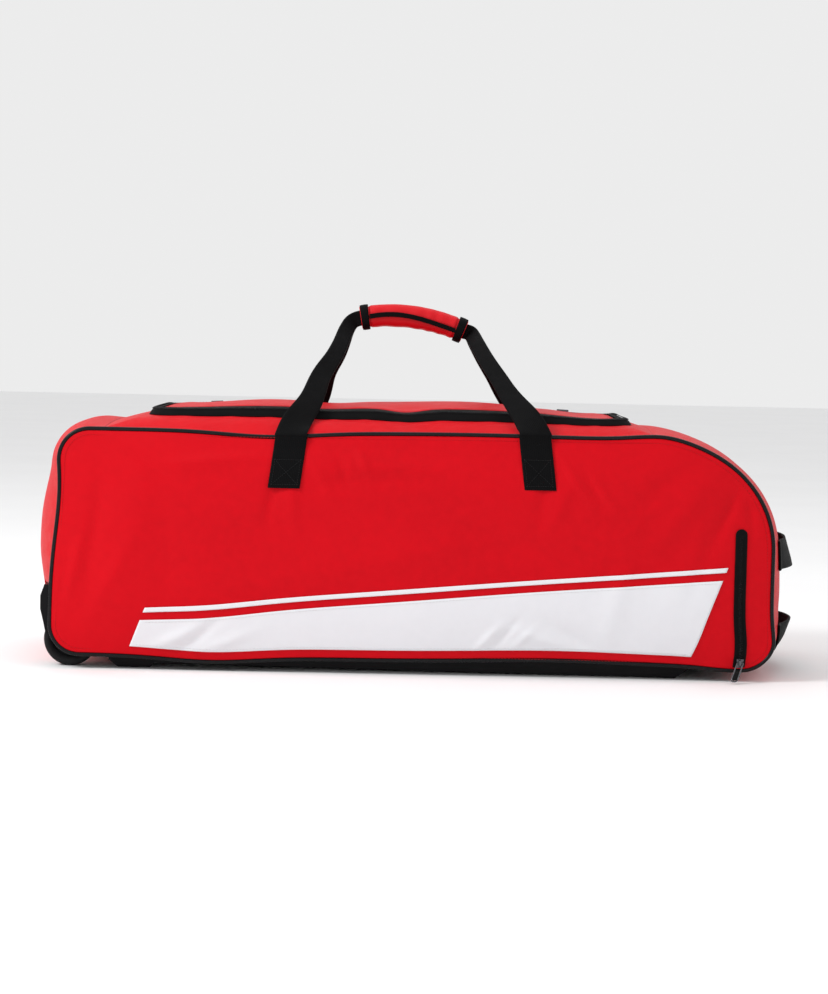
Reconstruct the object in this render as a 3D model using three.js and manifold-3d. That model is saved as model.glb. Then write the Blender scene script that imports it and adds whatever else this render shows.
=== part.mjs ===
// Wheeled cricket kit bag, resting on its two wheels and two skid rails.
// X runs along the bag towards the tow end, Y across it towards the back, and Z up. Millimetres.
import * as THREE from 'three';
import { mergeVertices } from 'three/addons/utils/BufferGeometryUtils.js';
import Module from 'manifold-3d';

const wasm = await Module();
wasm.setup();

// Driving dimensions of the bag
const bag_length = 907;
const bag_height = 284.5;
const bag_depth = 330;
const ground_clearance = 18;
const cloth = 2;
const seam_gap = 0.3;
const lay_gap = 0.6;
const piping_diameter = 5;
const piping_gap = 1.1;

// Corners of the side panels
const wheel_end_top_radius = 44;
const wheel_end_low_radius = 38;
const tow_end_low_radius = 35;
const shoulder_length = 152;
const shoulder_drop = 137;

// How far the packed bag swells beyond its seams
const side_swell = 14;
const swell_run_x = 160;
const swell_run_z = 110;
const wheel_end_swell = 39;
const tow_end_swell = 28;
const top_seam_swell = 5.5;

// Lid and its zip
const lid_wheel_end_inset = 112.5;
const lid_tow_end_inset = 174.5;
const zip_width_in_plan = 17;
const lid_half_depth = 104;
const lid_corner_radius = 30;
const zip_foot_rise = 16;
const lid_edge_rise = 30;
const lid_crown = 5;
const zip_tape_thickness = 1.2;
const chain_width = 6;
const chain_thickness = 1.6;
const hinge_corner_margin = 26;
const zip_slider_length = 16;
const zip_slider_width = 11;
const zip_slider_height = 5;

// How far the end panels' seams lie beyond the corners, along the top and the base
const top_seam_run_wheel_end = 17.5;
const top_seam_run_tow_end = 0.5;
const base_seam_run_wheel_end = 37.5;
const base_seam_run_tow_end = 14.5;

// Carry handle
const webbing_width = 40;
const webbing_thickness = 2;
const folded_width = 20;
const folded_thickness = 4;
const strap_spacing = 320;
const strap_offset_x = -1;
const strap_base_length = 66;
const strap_skew = 8;
const strap_fold_rate_wheel_end = 2;
const strap_fold_rate_tow_end = 4;
const handle_rise = 145.5;
const handle_drop_at_tow_end = 15.5;
const grip_length = 136;
const grip_offset_x = -5;
const grip_arch = 10;
const grip_height = 29;
const grip_depth = 26;
const grip_slot_height = 22;
const grip_slot_depth = 11;
const grip_binding_width = 10;
const grip_binding_thickness = 1.4;
const flap_binding_width = 7;
const flap_binding_thickness = 1.2;
const flap_wave = 2.4;
const flap_wave_turn = 5.4;

// White flash and pinstripe on the front
const flash_thickness = 0.8;
const flash_end_margin = 101.5;
const flash_lean = 38;
const flash_foot_margin = 13;
const flash_height_wheel_end = 34;
const flash_height_tow_end = 98;
const pinstripe_width = 6;
const pinstripe_space = 10;

// Pocket zip on the front
const pocket_zip_inset = 41.5;
const pocket_zip_length = 171;
const pocket_zip_foot = 4.5;
const pocket_tape_width = 15;
const pocket_tape_thickness = 1;
const pocket_chain_width = 5;
const pocket_chain_thickness = 1.4;
const slider_length = 11;
const slider_width = 9;
const slider_height = 4.5;
const pull_length = 27;
const pull_width = 10;
const pull_wire = 2.2;
const pull_lean_deg = 62;
const pull_skew_deg = 20;
const pull_bend = 2.5;

// Wheels and their housings
const wheel_radius = 34;
const wheel_width = 24;
const wheel_inset = 23.5;
const track_half = 130;
const hub_radius = 22;
const hub_width = 20;
const axle_radius = 4;
const running_gap = 0.5;
const well_gap = 3.5;
const housing_stand_off = 12;
const housing_height = 87;
const housing_notch_height = 25.6;
const housing_ramp_height = 22.8;
const housing_shelf = 20;
const housing_chamfer = 14;
const housing_toe = 10;
const housing_face_taper = 5;
const housing_depth_inside = 46;
const housing_cheek = 12;
const wheel_sides = 20;
const axle_sides = 12;

// Skid rails
const rail_width = 22;
const rail_overhang = 3;
const rail_tow_end_inset = 50;
const rail_foot_length = 40;
const rail_toe_length = 22;
const rail_arch = 6;

// Tow-end handles
const tow_webbing_width = 38;
const tow_webbing_thickness = 2.5;
const tow_handle_half_span = 116;
const tow_handle_tab = 26;
const tow_handle_stand_off = 13;
const tab_gap = 0.98;
const upper_handle_height = 138;
const upper_handle_flare = 4;
const lower_handle_height = 30;
const lower_handle_flare = 4;

// Number of steps in the soft surfaces
const panel_columns = 26;
const panel_rows = 8;
const piping_stations = 62;
const piping_sides = 5;
const ring_stations = 54;
const end_stations = 16;
const end_columns = 8;
const grip_sides = 14;

// Finishes
const finishes = {
  red_cloth: new THREE.MeshStandardMaterial({ color: 0xd9121f, roughness: 0.62, metalness: 0 }),
  white_cloth: new THREE.MeshStandardMaterial({ color: 0xf1f2f4, roughness: 0.55, metalness: 0 }),
  black_webbing: new THREE.MeshStandardMaterial({ color: 0x17171a, roughness: 0.8, metalness: 0 }),
  black_piping: new THREE.MeshStandardMaterial({ color: 0x101012, roughness: 0.4, metalness: 0 }),
  zip_tape: new THREE.MeshStandardMaterial({ color: 0x141416, roughness: 0.85, metalness: 0 }),
  zip_teeth: new THREE.MeshStandardMaterial({ color: 0x1d1d20, roughness: 0.4, metalness: 0 }),
  black_plastic: new THREE.MeshStandardMaterial({ color: 0x19191b, roughness: 0.5, metalness: 0 }),
  base_cloth: new THREE.MeshStandardMaterial({ color: 0x161618, roughness: 0.75, metalness: 0 }),
  tyre: new THREE.MeshStandardMaterial({ color: 0x1b1b1d, roughness: 0.7, metalness: 0 }),
  dark_metal: new THREE.MeshStandardMaterial({ color: 0x3a3a3e, roughness: 0.35, metalness: 0.9 }),
  steel: new THREE.MeshStandardMaterial({ color: 0x9b9da1, roughness: 0.3, metalness: 1 }),
};

// Sizes that follow from the driving ones
const half_length = bag_length / 2;
const half_depth = bag_depth / 2;
const base_z = ground_clearance;
const top_z = ground_clearance + bag_height;
const piping_radius = piping_diameter / 2;
const panel_inset = piping_radius + piping_gap;
const gusset_half = half_depth - piping_diameter - seam_gap;
const face_y = half_depth - piping_radius + cloth / 2;
const lid_wheel_end_x = -half_length + lid_wheel_end_inset;
const lid_tow_end_x = half_length - lid_tow_end_inset;
const top_seam_wheel_end_x = -half_length + wheel_end_top_radius + top_seam_run_wheel_end;
const top_seam_tow_end_x = half_length - shoulder_length - top_seam_run_tow_end;
const base_seam_wheel_end_x = -half_length + wheel_end_low_radius + base_seam_run_wheel_end;
const base_seam_tow_end_x = half_length - tow_end_low_radius - base_seam_run_tow_end;
const flash_wheel_end_x = -half_length + flash_end_margin;
const flash_tow_end_x = half_length - flash_end_margin;
const pocket_zip_x = half_length - pocket_zip_inset;
const wheel_x = -half_length + wheel_inset;
const rail_wheel_end_x = base_seam_wheel_end_x - rail_overhang;
const rail_tow_end_x = base_seam_tow_end_x - rail_tow_end_inset;

// Where the seams leave their straight runs. at and reach are shares of the bag's length on the top and
// base, and of its height on the ends; out is a share of its height, up on the top and base.
const seam_waves = [
  { side: 'top', at: -0.2, reach: 0.085, out: -0.021 },
  { side: 'top', at: 0.09, reach: 0.14, out: 0.006 },
  { side: 'top', at: 0.335, reach: 0.05, out: 0.014 },
  { side: 'base', at: -0.275, reach: 0.085, out: -0.022 },
  { side: 'base', at: 0.2, reach: 0.15, out: 0.016 },
  { side: 'base', at: 0.445, reach: 0.045, out: -0.014 },
  { side: 'wheel_end', at: 0.75, reach: 0.3, out: -0.039 },
  { side: 'tow_end', at: 0.1, reach: 0.1, out: 0.014 },
];

// Folds in the side cloth: at and long are shares of the bag's length, up and wide of its height, and
// raise is a share of the side's swell. turn is the fold's direction in degrees from X.
const side_folds = [
  { at: -0.4, up: 0.45, turn: 82, long: 0.12, wide: 0.1, raise: 0.16 },
  { at: -0.34, up: 0.4, turn: 96, long: 0.12, wide: 0.08, raise: -0.14 },
  { at: -0.1, up: 0.62, turn: 8, long: 0.16, wide: 0.09, raise: -0.12 },
  { at: 0.06, up: 0.78, turn: -6, long: 0.13, wide: 0.08, raise: 0.14 },
  { at: 0.1, up: 0.5, turn: 20, long: 0.14, wide: 0.1, raise: -0.1 },
  { at: 0.29, up: 0.62, turn: 58, long: 0.08, wide: 0.09, raise: 0.14 },
  { at: 0.36, up: 0.5, turn: 66, long: 0.08, wide: 0.08, raise: -0.12 },
];

// How the end panels swell from the top seam to the base seam, as shares of each end's swell
const wheel_end_crown = [
  { along: 0, out: 0.14 }, { along: 0.1, out: 0.28 }, { along: 0.2, out: 0.64 }, { along: 0.27, out: 0.8 },
  { along: 0.33, out: 0.93 }, { along: 0.4, out: 1 }, { along: 0.47, out: 0.97 }, { along: 0.54, out: 0.9 },
  { along: 0.64, out: 0.64 }, { along: 0.76, out: 0.24 }, { along: 0.88, out: 0.05 }, { along: 1, out: 0 },
];
const tow_end_crown = [
  { along: 0, out: 0.196 }, { along: 0.15, out: 0.3 }, { along: 0.3, out: 0.42 }, { along: 0.45, out: 0.7 },
  { along: 0.6, out: 0.95 }, { along: 0.7, out: 1 }, { along: 0.8, out: 0.86 }, { along: 0.9, out: 0.35 },
  { along: 1, out: 0 },
];

// The lid's dips and humps: at is a share of the bag's length, across of half the lid's depth, and
// raise a share of the lid's rise
const lid_waves = [
  { at: -0.22, across: 0, long: 0.07, wide: 1.1, raise: 0.12 },
  { at: -0.12, across: -0.2, long: 0.035, wide: 0.9, raise: -0.14 },
  { at: 0.08, across: 0.1, long: 0.09, wide: 1.1, raise: 0.13 },
  { at: 0.25, across: 0, long: 0.06, wide: 1.4, raise: -0.2 },
  { at: -0.012, across: -1, long: 0.03, wide: 0.4, raise: -0.16 },
];

// The free run of each strap from the top seam to the grip. back, in and up are shares of the way to the
// bag's middle plane, to the grip's end and to its height.
const strap_run = [
  { back: 0.11, in_wheel_end: 0.11, up_wheel_end: 0.12, in_tow_end: 0.15, up_tow_end: 0.16 },
  { back: 0.25, in_wheel_end: 0.24, up_wheel_end: 0.26, in_tow_end: 0.3, up_tow_end: 0.32 },
  { back: 0.41, in_wheel_end: 0.38, up_wheel_end: 0.43, in_tow_end: 0.5, up_tow_end: 0.51 },
  { back: 0.59, in_wheel_end: 0.53, up_wheel_end: 0.59, in_tow_end: 0.68, up_tow_end: 0.71 },
  { back: 0.78, in_wheel_end: 0.68, up_wheel_end: 0.76, in_tow_end: 0.81, up_tow_end: 0.87 },
  { back: 0.93, in_wheel_end: 0.77, up_wheel_end: 0.89, in_tow_end: 0.87, up_tow_end: 0.95 },
  { back: 1, in_wheel_end: 0.87, up_wheel_end: 0.97, in_tow_end: 0.92, up_tow_end: 0.99 },
];

// The bag's corners: centre, radii and the angle at which each quarter turn starts, anticlockwise
const corners = {
  wheel_end_low: {
    x: -half_length + wheel_end_low_radius, z: base_z + wheel_end_low_radius,
    rx: wheel_end_low_radius, rz: wheel_end_low_radius, start: Math.PI,
  },
  tow_end_low: {
    x: half_length - tow_end_low_radius, z: base_z + tow_end_low_radius,
    rx: tow_end_low_radius, rz: tow_end_low_radius, start: 1.5 * Math.PI,
  },
  shoulder: {
    x: half_length - shoulder_length, z: top_z - shoulder_drop,
    rx: shoulder_length, rz: shoulder_drop, start: 0,
  },
  wheel_end_top: {
    x: -half_length + wheel_end_top_radius, z: top_z - wheel_end_top_radius,
    rx: wheel_end_top_radius, rz: wheel_end_top_radius, start: 0.5 * Math.PI,
  },
};

function bell(t) {
  return Math.exp(-t * t);
}

// Eases from 0 at one value to 1 at another, which may be the lower of the two
function smooth(from, to, value) {
  return THREE.MathUtils.smoothstep((value - from) / (to - from), 0, 1);
}

// Value of a table's column at t, straight between its rows
function tableValue(rows, key, column, t) {
  const last = rows.length - 1;
  if (t <= rows[0][key]) return rows[0][column];
  if (t >= rows[last][key]) return rows[last][column];
  const next = rows.findIndex((row) => row[key] > t);
  const a = rows[next - 1];
  const b = rows[next];
  return THREE.MathUtils.mapLinear(t, a[key], b[key], a[column], b[column]);
}

// Moves a point of the true outline to where the soft bag has it
function sag(x, z) {
  const u = x / bag_length;
  const w = (z - base_z) / bag_height;
  let dx = 0;
  let dz = 0;
  for (const wave of seam_waves) {
    const lift = wave.out * bag_height;
    if (wave.side === 'top') dz += lift * bell((u - wave.at) / wave.reach) * smooth(0.5, 1, w);
    if (wave.side === 'base') dz += lift * bell((u - wave.at) / wave.reach) * smooth(0.5, 0, w);
    if (wave.side === 'wheel_end') dx -= lift * bell((w - wave.at) / wave.reach) * smooth(-0.25, -0.5, u);
    if (wave.side === 'tow_end') dx += lift * bell((w - wave.at) / wave.reach) * smooth(0.3, 0.5, u);
  }
  return { x: x + dx, z: z + dz };
}

// Part of a corner's quarter turn, from share a to share b, drawn inset from the seam line
function cornerPoints(name, inset, a = 0, b = 1) {
  const c = corners[name];
  const steps = 12;
  return Array.from({ length: steps + 1 }, (_, i) => {
    const angle = c.start + (Math.PI / 2) * (a + ((b - a) * i) / steps);
    return {
      x: c.x + (c.rx - inset) * Math.cos(angle),
      z: c.z + (c.rz - inset) * Math.sin(angle),
    };
  });
}

// Spaces points along a polyline, closer together where it bends
function spaced(points, count) {
  const bend_length = 60;
  const reach = [0];
  let heading = null;
  for (let i = 1; i < points.length; i++) {
    const dx = points[i].x - points[i - 1].x;
    const dz = points[i].z - points[i - 1].z;
    const run = Math.hypot(dx, dz);
    const now = Math.atan2(dz, dx);
    const bends = heading !== null && run > 0;
    const turn = bends ? Math.abs(Math.atan2(Math.sin(now - heading), Math.cos(now - heading))) : 0;
    reach.push(reach[i - 1] + run + bend_length * turn);
    if (run > 0) heading = now;
  }
  return Array.from({ length: count + 1 }, (_, k) => {
    const goal = (reach[reach.length - 1] * k) / count;
    let i = 1;
    while (i < points.length - 1 && reach[i] < goal) i++;
    const span = reach[i] - reach[i - 1];
    const t = span > 0 ? (goal - reach[i - 1]) / span : 0;
    return {
      x: THREE.MathUtils.lerp(points[i - 1].x, points[i].x, t),
      z: THREE.MathUtils.lerp(points[i - 1].z, points[i].z, t),
    };
  });
}

// How far the side stands proud of its seams at a point of the true outline
function sideSwell(x, z) {
  const ease = (q) => 1 - (1 - THREE.MathUtils.clamp(q, 0, 1)) ** 2;
  const c = corners.shoulder;
  const over = THREE.MathUtils.clamp((x - c.x) / c.rx, 0, 1);
  const ceiling = c.z + c.rz * Math.sqrt(1 - over * over);
  const fullness = ease((x + half_length) / swell_run_x) * ease((half_length - x) / swell_run_x)
    * ease((z - base_z) / swell_run_z) * ease((ceiling - z) / swell_run_z);
  let folds = 0;
  for (const fold of side_folds) {
    const dx = x - fold.at * bag_length;
    const dz = z - base_z - fold.up * bag_height;
    const turn = THREE.MathUtils.degToRad(fold.turn);
    const along = dx * Math.cos(turn) + dz * Math.sin(turn);
    const across = dz * Math.cos(turn) - dx * Math.sin(turn);
    folds += fold.raise * bell(along / (fold.long * bag_length)) * bell(across / (fold.wide * bag_height));
  }
  return side_swell * fullness * (1 + folds);
}

// Point on the outer face of a side panel, lifted off it. side is -1 at the front and 1 at the back.
function sidePoint(side, x, z, lift = 0) {
  const seat = sag(x, z);
  return new THREE.Vector3(seat.x, side * (face_y + sideSwell(x, z) + lift), seat.z);
}

// Turns points and triangles into a geometry whose faces look outwards
function closedGeometry(points, triangles) {
  let volume = 0;
  for (const [a, b, c] of triangles) {
    volume += points[a].dot(new THREE.Vector3().crossVectors(points[b], points[c]));
  }
  const ordered = volume < 0 ? triangles.map(([a, b, c]) => [a, c, b]) : triangles;
  const geometry = new THREE.BufferGeometry();
  geometry.setAttribute('position', new THREE.Float32BufferAttribute(points.flatMap((p) => p.toArray()), 3));
  geometry.setIndex(ordered.flat());
  geometry.computeVertexNormals();
  return geometry;
}

// A closed wall between two like grids of points, which may join up into a ring along the first index
function wallBetween(outer, inner, ring = false) {
  const rows = outer.length;
  const columns = outer[0].length;
  const points = [...outer.flat(), ...inner.flat()];
  const at = (i, j, layer) => layer * rows * columns + (i % rows) * columns + j;
  const triangles = [];
  const quad = (a, b, c, d) => triangles.push([a, b, c], [a, c, d]);
  const last_row = ring ? rows : rows - 1;
  for (let i = 0; i < last_row; i++) {
    for (let j = 0; j < columns - 1; j++) {
      quad(at(i, j, 0), at(i, j + 1, 0), at(i + 1, j + 1, 0), at(i + 1, j, 0));
      quad(at(i, j, 1), at(i + 1, j, 1), at(i + 1, j + 1, 1), at(i, j + 1, 1));
    }
    quad(at(i, 0, 0), at(i + 1, 0, 0), at(i + 1, 0, 1), at(i, 0, 1));
    quad(at(i, columns - 1, 0), at(i, columns - 1, 1), at(i + 1, columns - 1, 1), at(i + 1, columns - 1, 0));
  }
  if (!ring) {
    for (let j = 0; j < columns - 1; j++) {
      quad(at(0, j, 0), at(0, j, 1), at(0, j + 1, 1), at(0, j + 1, 0));
      quad(at(rows - 1, j, 0), at(rows - 1, j + 1, 0), at(rows - 1, j + 1, 1), at(rows - 1, j, 1));
    }
  }
  return closedGeometry(points, triangles);
}

// A wall whose inner face is its outer one moved by a fixed offset
function wallBelow(outer, offset, ring = false) {
  return wallBetween(outer, outer.map((row) => row.map((p) => p.clone().add(offset))), ring);
}

// A solid carried through like sections, closed by flat ends or joined up into a loop
function sweep(sections, loop = false) {
  const count = sections.length;
  const sides = sections[0].length;
  const points = sections.flat();
  const at = (i, j) => (i % count) * sides + (j % sides);
  const triangles = [];
  for (let i = 0; i < (loop ? count : count - 1); i++) {
    for (let j = 0; j < sides; j++) {
      triangles.push([at(i, j), at(i, j + 1), at(i + 1, j + 1)], [at(i, j), at(i + 1, j + 1), at(i + 1, j)]);
    }
  }
  if (!loop) {
    for (let j = 1; j < sides - 1; j++) {
      triangles.push([at(0, 0), at(0, j + 1), at(0, j)]);
      triangles.push([at(count - 1, 0), at(count - 1, j), at(count - 1, j + 1)]);
    }
  }
  return closedGeometry(points, triangles);
}

// The four corners of a flat strip's section: middle, direction across it and direction through it
function stripSection(middle, across, through, width, thickness) {
  const corner = (a, b) => middle.clone().addScaledVector(across, (a * width) / 2)
    .addScaledVector(through, (b * thickness) / 2);
  return [corner(-1, -1), corner(1, -1), corner(1, 1), corner(-1, 1)];
}

// Extrudes an outline in X and Z across the bag, from y0 to y1
function extrudeAcross(outline, y0, y1) {
  const shape = new THREE.Shape(outline.map((p) => new THREE.Vector2(p.x, p.z)));
  const geometry = new THREE.ExtrudeGeometry(shape, { depth: y1 - y0, bevelEnabled: false });
  geometry.rotateX(Math.PI / 2);
  geometry.translate(0, y1, 0);
  return geometry;
}

function toManifold(geometry) {
  const bare = geometry.clone();
  bare.deleteAttribute('normal');
  bare.deleteAttribute('uv');
  const merged = mergeVertices(bare, 1e-4);
  return new wasm.Manifold(new wasm.Mesh({
    numProp: 3,
    vertProperties: new Float32Array(merged.attributes.position.array),
    triVerts: new Uint32Array(merged.index.array),
  }));
}

function fromManifold(body) {
  const mesh = body.getMesh();
  const geometry = new THREE.BufferGeometry();
  geometry.setAttribute('position', new THREE.Float32BufferAttribute(mesh.vertProperties, 3));
  geometry.setIndex(Array.from(mesh.triVerts));
  geometry.computeVertexNormals();
  return geometry;
}

function subtract(geometry, ...tools) {
  return fromManifold(tools.reduce((body, tool) => body.subtract(toManifold(tool)), toManifold(geometry)));
}

const bag = new THREE.Group();

function add(name, geometry, finish, parent = bag) {
  const mesh = new THREE.Mesh(geometry, finishes[finish]);
  mesh.name = name;
  parent.add(mesh);
  return mesh;
}

// Side panels

// A patch stretched between four edges that run from mid-corner to mid-corner
function sideGrid(side) {
  const edge = (from, to, steps) => spaced(
    [...cornerPoints(from, panel_inset, 0.5, 1), ...cornerPoints(to, panel_inset, 0, 0.5)], steps);
  const base = edge('wheel_end_low', 'tow_end_low', panel_columns);
  const tow = edge('tow_end_low', 'shoulder', panel_rows);
  const top = edge('shoulder', 'wheel_end_top', panel_columns).reverse();
  const wheel = edge('wheel_end_top', 'wheel_end_low', panel_rows).reverse();
  return base.map((low, i) => wheel.map((left, j) => {
    const u = i / panel_columns;
    const v = j / panel_rows;
    const blend = (axis) => (1 - v) * low[axis] + v * top[i][axis] + (1 - u) * left[axis] + u * tow[j][axis]
      - (1 - u) * (1 - v) * base[0][axis] - u * (1 - v) * base[panel_columns][axis]
      - (1 - u) * v * top[0][axis] - u * v * top[panel_columns][axis];
    return sidePoint(side, blend('x'), blend('z'));
  }));
}

function addSide(name, side) {
  add(`${name}_panel`, wallBelow(sideGrid(side), new THREE.Vector3(0, -side * cloth, 0)), 'red_cloth');
  const line = spaced([
    ...cornerPoints('wheel_end_low', 0), ...cornerPoints('tow_end_low', 0),
    ...cornerPoints('shoulder', 0), ...cornerPoints('wheel_end_top', 0), cornerPoints('wheel_end_low', 0)[0],
  ], piping_stations).slice(0, -1).map((p) => sag(p.x, p.z));
  const sections = line.map((p, i) => {
    const before = line[(i + line.length - 1) % line.length];
    const after = line[(i + 1) % line.length];
    const outward = new THREE.Vector3(after.z - before.z, 0, before.x - after.x).normalize();
    const middle = new THREE.Vector3(p.x, side * (half_depth - piping_radius), p.z);
    return Array.from({ length: piping_sides }, (_, k) => {
      const angle = (2 * Math.PI * k) / piping_sides;
      return middle.clone().addScaledVector(outward, piping_radius * Math.cos(angle))
        .add(new THREE.Vector3(0, piping_radius * Math.sin(angle), 0));
    });
  });
  add(`piping_${name}`, sweep(sections, true), 'black_piping');
}

addSide('front', -1);
addSide('back', 1);

// End panels, which run round the bag's outline between the two pipings

// Outline run with its outward directions, as the soft bag has it
function gussetRun(points, count) {
  const line = spaced(points, count).map((p) => sag(p.x, p.z));
  const reach = [0];
  for (let i = 1; i < line.length; i++) {
    reach.push(reach[i - 1] + Math.hypot(line[i].x - line[i - 1].x, line[i].z - line[i - 1].z));
  }
  return line.map((p, i) => {
    const before = line[Math.max(i - 1, 0)];
    const after = line[Math.min(i + 1, line.length - 1)];
    const along = new THREE.Vector2(after.x - before.x, after.z - before.z).normalize();
    const out = new THREE.Vector3(along.y, 0, -along.x);
    return { x: p.x, z: p.z, out, share: reach[i] / reach[line.length - 1] };
  });
}

// Wall of an end panel: crown gives its swell in the middle plane at each station
function gussetWall(run, crown, columns) {
  const layer = (offset) => run.map((station) => Array.from({ length: columns + 1 }, (_, j) => {
    const v = -1 + (2 * j) / columns;
    const swell = crown(station.share) * (1 - v * v);
    return new THREE.Vector3(station.x, v * gusset_half, station.z)
      .addScaledVector(station.out, swell + offset);
  }));
  return wallBetween(layer(cloth / 2), layer(-cloth / 2));
}

const wheel_end_run = gussetRun([
  { x: top_seam_wheel_end_x - seam_gap, z: top_z }, ...cornerPoints('wheel_end_top', 0),
  ...cornerPoints('wheel_end_low', 0), { x: base_seam_wheel_end_x - seam_gap, z: base_z },
], end_stations);
const tow_end_run = gussetRun([
  { x: base_seam_tow_end_x + seam_gap, z: base_z }, ...cornerPoints('tow_end_low', 0),
  ...cornerPoints('shoulder', 0), { x: top_seam_tow_end_x + seam_gap, z: top_z },
], end_stations);
const towCrown = (t) => tow_end_swell * tableValue(tow_end_crown, 'along', 'out', 1 - t);
const wheelCrown = (t) => wheel_end_swell * tableValue(wheel_end_crown, 'along', 'out', t);

// Wheel housings: a box that follows the bag's low corner, with a well for the wheel

const housing_inner_y = track_half - wheel_width / 2 - well_gap - housing_cheek;
const housing_outer_y = gusset_half;
const well_radius = wheel_radius + well_gap;
const well_half = wheel_width / 2 + well_gap;
const wheel_z = wheel_radius;

// Side view of the housing: its outside follows the bag's corner, its inside reaches into the bag
const housing_notch_z = base_z + housing_notch_height;
const housing_head_z = base_z + housing_height;

function housingInside(margin) {
  const seam_x = base_seam_wheel_end_x - lay_gap + margin;
  const inside_x = -half_length + housing_depth_inside + margin;
  return [
    { x: seam_x, z: housing_notch_z }, { x: seam_x - housing_toe, z: housing_notch_z + housing_ramp_height },
    { x: inside_x, z: housing_head_z - housing_chamfer },
    { x: inside_x - housing_shelf, z: housing_head_z + margin },
  ];
}

function housingOutline() {
  const left = -half_length - housing_stand_off;
  const belly_z = (housing_head_z + housing_notch_z) / 2;
  const skirt = cornerPoints('wheel_end_low', -cloth / 2, 0.08, 1);
  return [
    { x: left + housing_face_taper, z: housing_head_z }, { x: left, z: housing_head_z - housing_chamfer },
    { x: left, z: belly_z }, { x: left + housing_face_taper * 0.8, z: housing_notch_z + housing_chamfer },
    { x: left + housing_face_taper * 1.4, z: housing_notch_z },
    ...skirt.filter((p) => p.z < housing_notch_z - cloth),
    { x: base_seam_wheel_end_x - lay_gap, z: base_z - cloth / 2 },
    ...housingInside(0),
  ];
}

// Cuts the end panel away wherever the housing or its wheel comes through
function housingCutter(side) {
  const low = housing_inner_y - seam_gap;
  const high = half_depth;
  const outside = -half_length - housing_stand_off - wheel_radius;
  const outline = [
    { x: outside, z: housing_head_z + seam_gap }, { x: outside, z: -wheel_radius },
    { x: base_seam_wheel_end_x + lay_gap, z: -wheel_radius },
    ...housingInside(2 * lay_gap),
  ];
  return side < 0 ? extrudeAcross(outline, -high, -low) : extrudeAcross(outline, low, high);
}

function drum(radius, y0, y1, x, z, sides) {
  const geometry = new THREE.CylinderGeometry(radius, radius, y1 - y0, sides);
  geometry.translate(x, (y0 + y1) / 2, z);
  return geometry;
}

// A lathe ring about the wheel's axle, from a closed profile of radius and offset along it
function wheelRing(profile, side) {
  const points = [...profile, profile[0]].map(([r, y]) => new THREE.Vector2(r, y));
  const geometry = new THREE.LatheGeometry(points, wheel_sides);
  geometry.translate(wheel_x, side * track_half, wheel_z);
  return geometry;
}

function addWheel(name, side) {
  const y = side * track_half;
  const y0 = side < 0 ? -housing_outer_y : housing_inner_y;
  const y1 = side < 0 ? -housing_inner_y : housing_outer_y;
  const well = drum(well_radius, y - well_half, y + well_half, wheel_x, wheel_z, wheel_sides);
  const mouth = extrudeAcross([
    { x: wheel_x - well_radius * 2, z: housing_notch_z }, { x: wheel_x - well_radius, z: wheel_z },
    { x: wheel_x - well_radius, z: 0 }, { x: wheel_x + well_radius, z: 0 },
    { x: wheel_x + well_radius, z: wheel_z }, { x: wheel_x, z: wheel_z + well_radius / 2 },
  ], y - well_half, y + well_half);
  const bore_half = well_half + housing_cheek / 2;
  const bore = drum(axle_radius + seam_gap, y - bore_half, y + bore_half, wheel_x, wheel_z, axle_sides);
  const block = extrudeAcross(housingOutline(), y0, y1);
  add(`wheel_housing_${name}`, subtract(block, well, mouth, bore), 'black_plastic');
  const pin_half = bore_half - seam_gap;
  const pin = drum(axle_radius, y - pin_half, y + pin_half, wheel_x, wheel_z, axle_sides);
  add(`wheel_axle_${name}`, pin, 'steel');
  const tread = wheel_width / 2;
  add(`wheel_tyre_${name}`, wheelRing([
    [hub_radius + seam_gap, -tread * 0.7], [wheel_radius * 0.86, -tread], [wheel_radius, -tread * 0.6],
    [wheel_radius, tread * 0.6], [wheel_radius * 0.86, tread], [hub_radius + seam_gap, tread * 0.7],
  ], side), 'tyre');
  const boss = hub_width / 2;
  add(`wheel_hub_${name}`, wheelRing([
    [axle_radius + running_gap, -boss], [axle_radius * 2.4, -boss], [hub_radius, -boss * 0.7],
    [hub_radius, boss * 0.7], [axle_radius * 2.4, boss], [axle_radius + running_gap, boss],
  ], side), 'black_plastic');
}

const wheel_end_wall = gussetWall(wheel_end_run, wheelCrown, end_columns);
add('wheel_end_panel', subtract(wheel_end_wall, housingCutter(-1), housingCutter(1)), 'red_cloth');
add('tow_end_panel', gussetWall(tow_end_run, towCrown, end_columns), 'red_cloth');
addWheel('front', -1);
addWheel('back', 1);

// Base: stiff and flat in the middle, and following the seams at its edges

const base_flat_share = (track_half + rail_width / 2 + 2) / gusset_half;

function basePoint(x, v, drop) {
  const edge = sag(x, base_z).z;
  const seam_share = smooth(base_flat_share, 1, Math.abs(v));
  return new THREE.Vector3(x, v * gusset_half, THREE.MathUtils.lerp(base_z, edge, seam_share) - drop);
}

function baseGrid(drop) {
  const bend = (1 + base_flat_share) / 2;
  const rows = [-1, -bend, -base_flat_share, 0, base_flat_share, bend, 1];
  const columns = 10;
  return Array.from({ length: columns + 1 }, (_, i) => {
    const x = THREE.MathUtils.lerp(base_seam_wheel_end_x, base_seam_tow_end_x, i / columns);
    return rows.map((v) => basePoint(x, v, drop));
  });
}

add('base_panel', wallBetween(baseGrid(cloth / 2), baseGrid(-cloth / 2)), 'base_cloth');

// Skid rails, which taper from the arch behind the foot to the toe at the tow end

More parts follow.
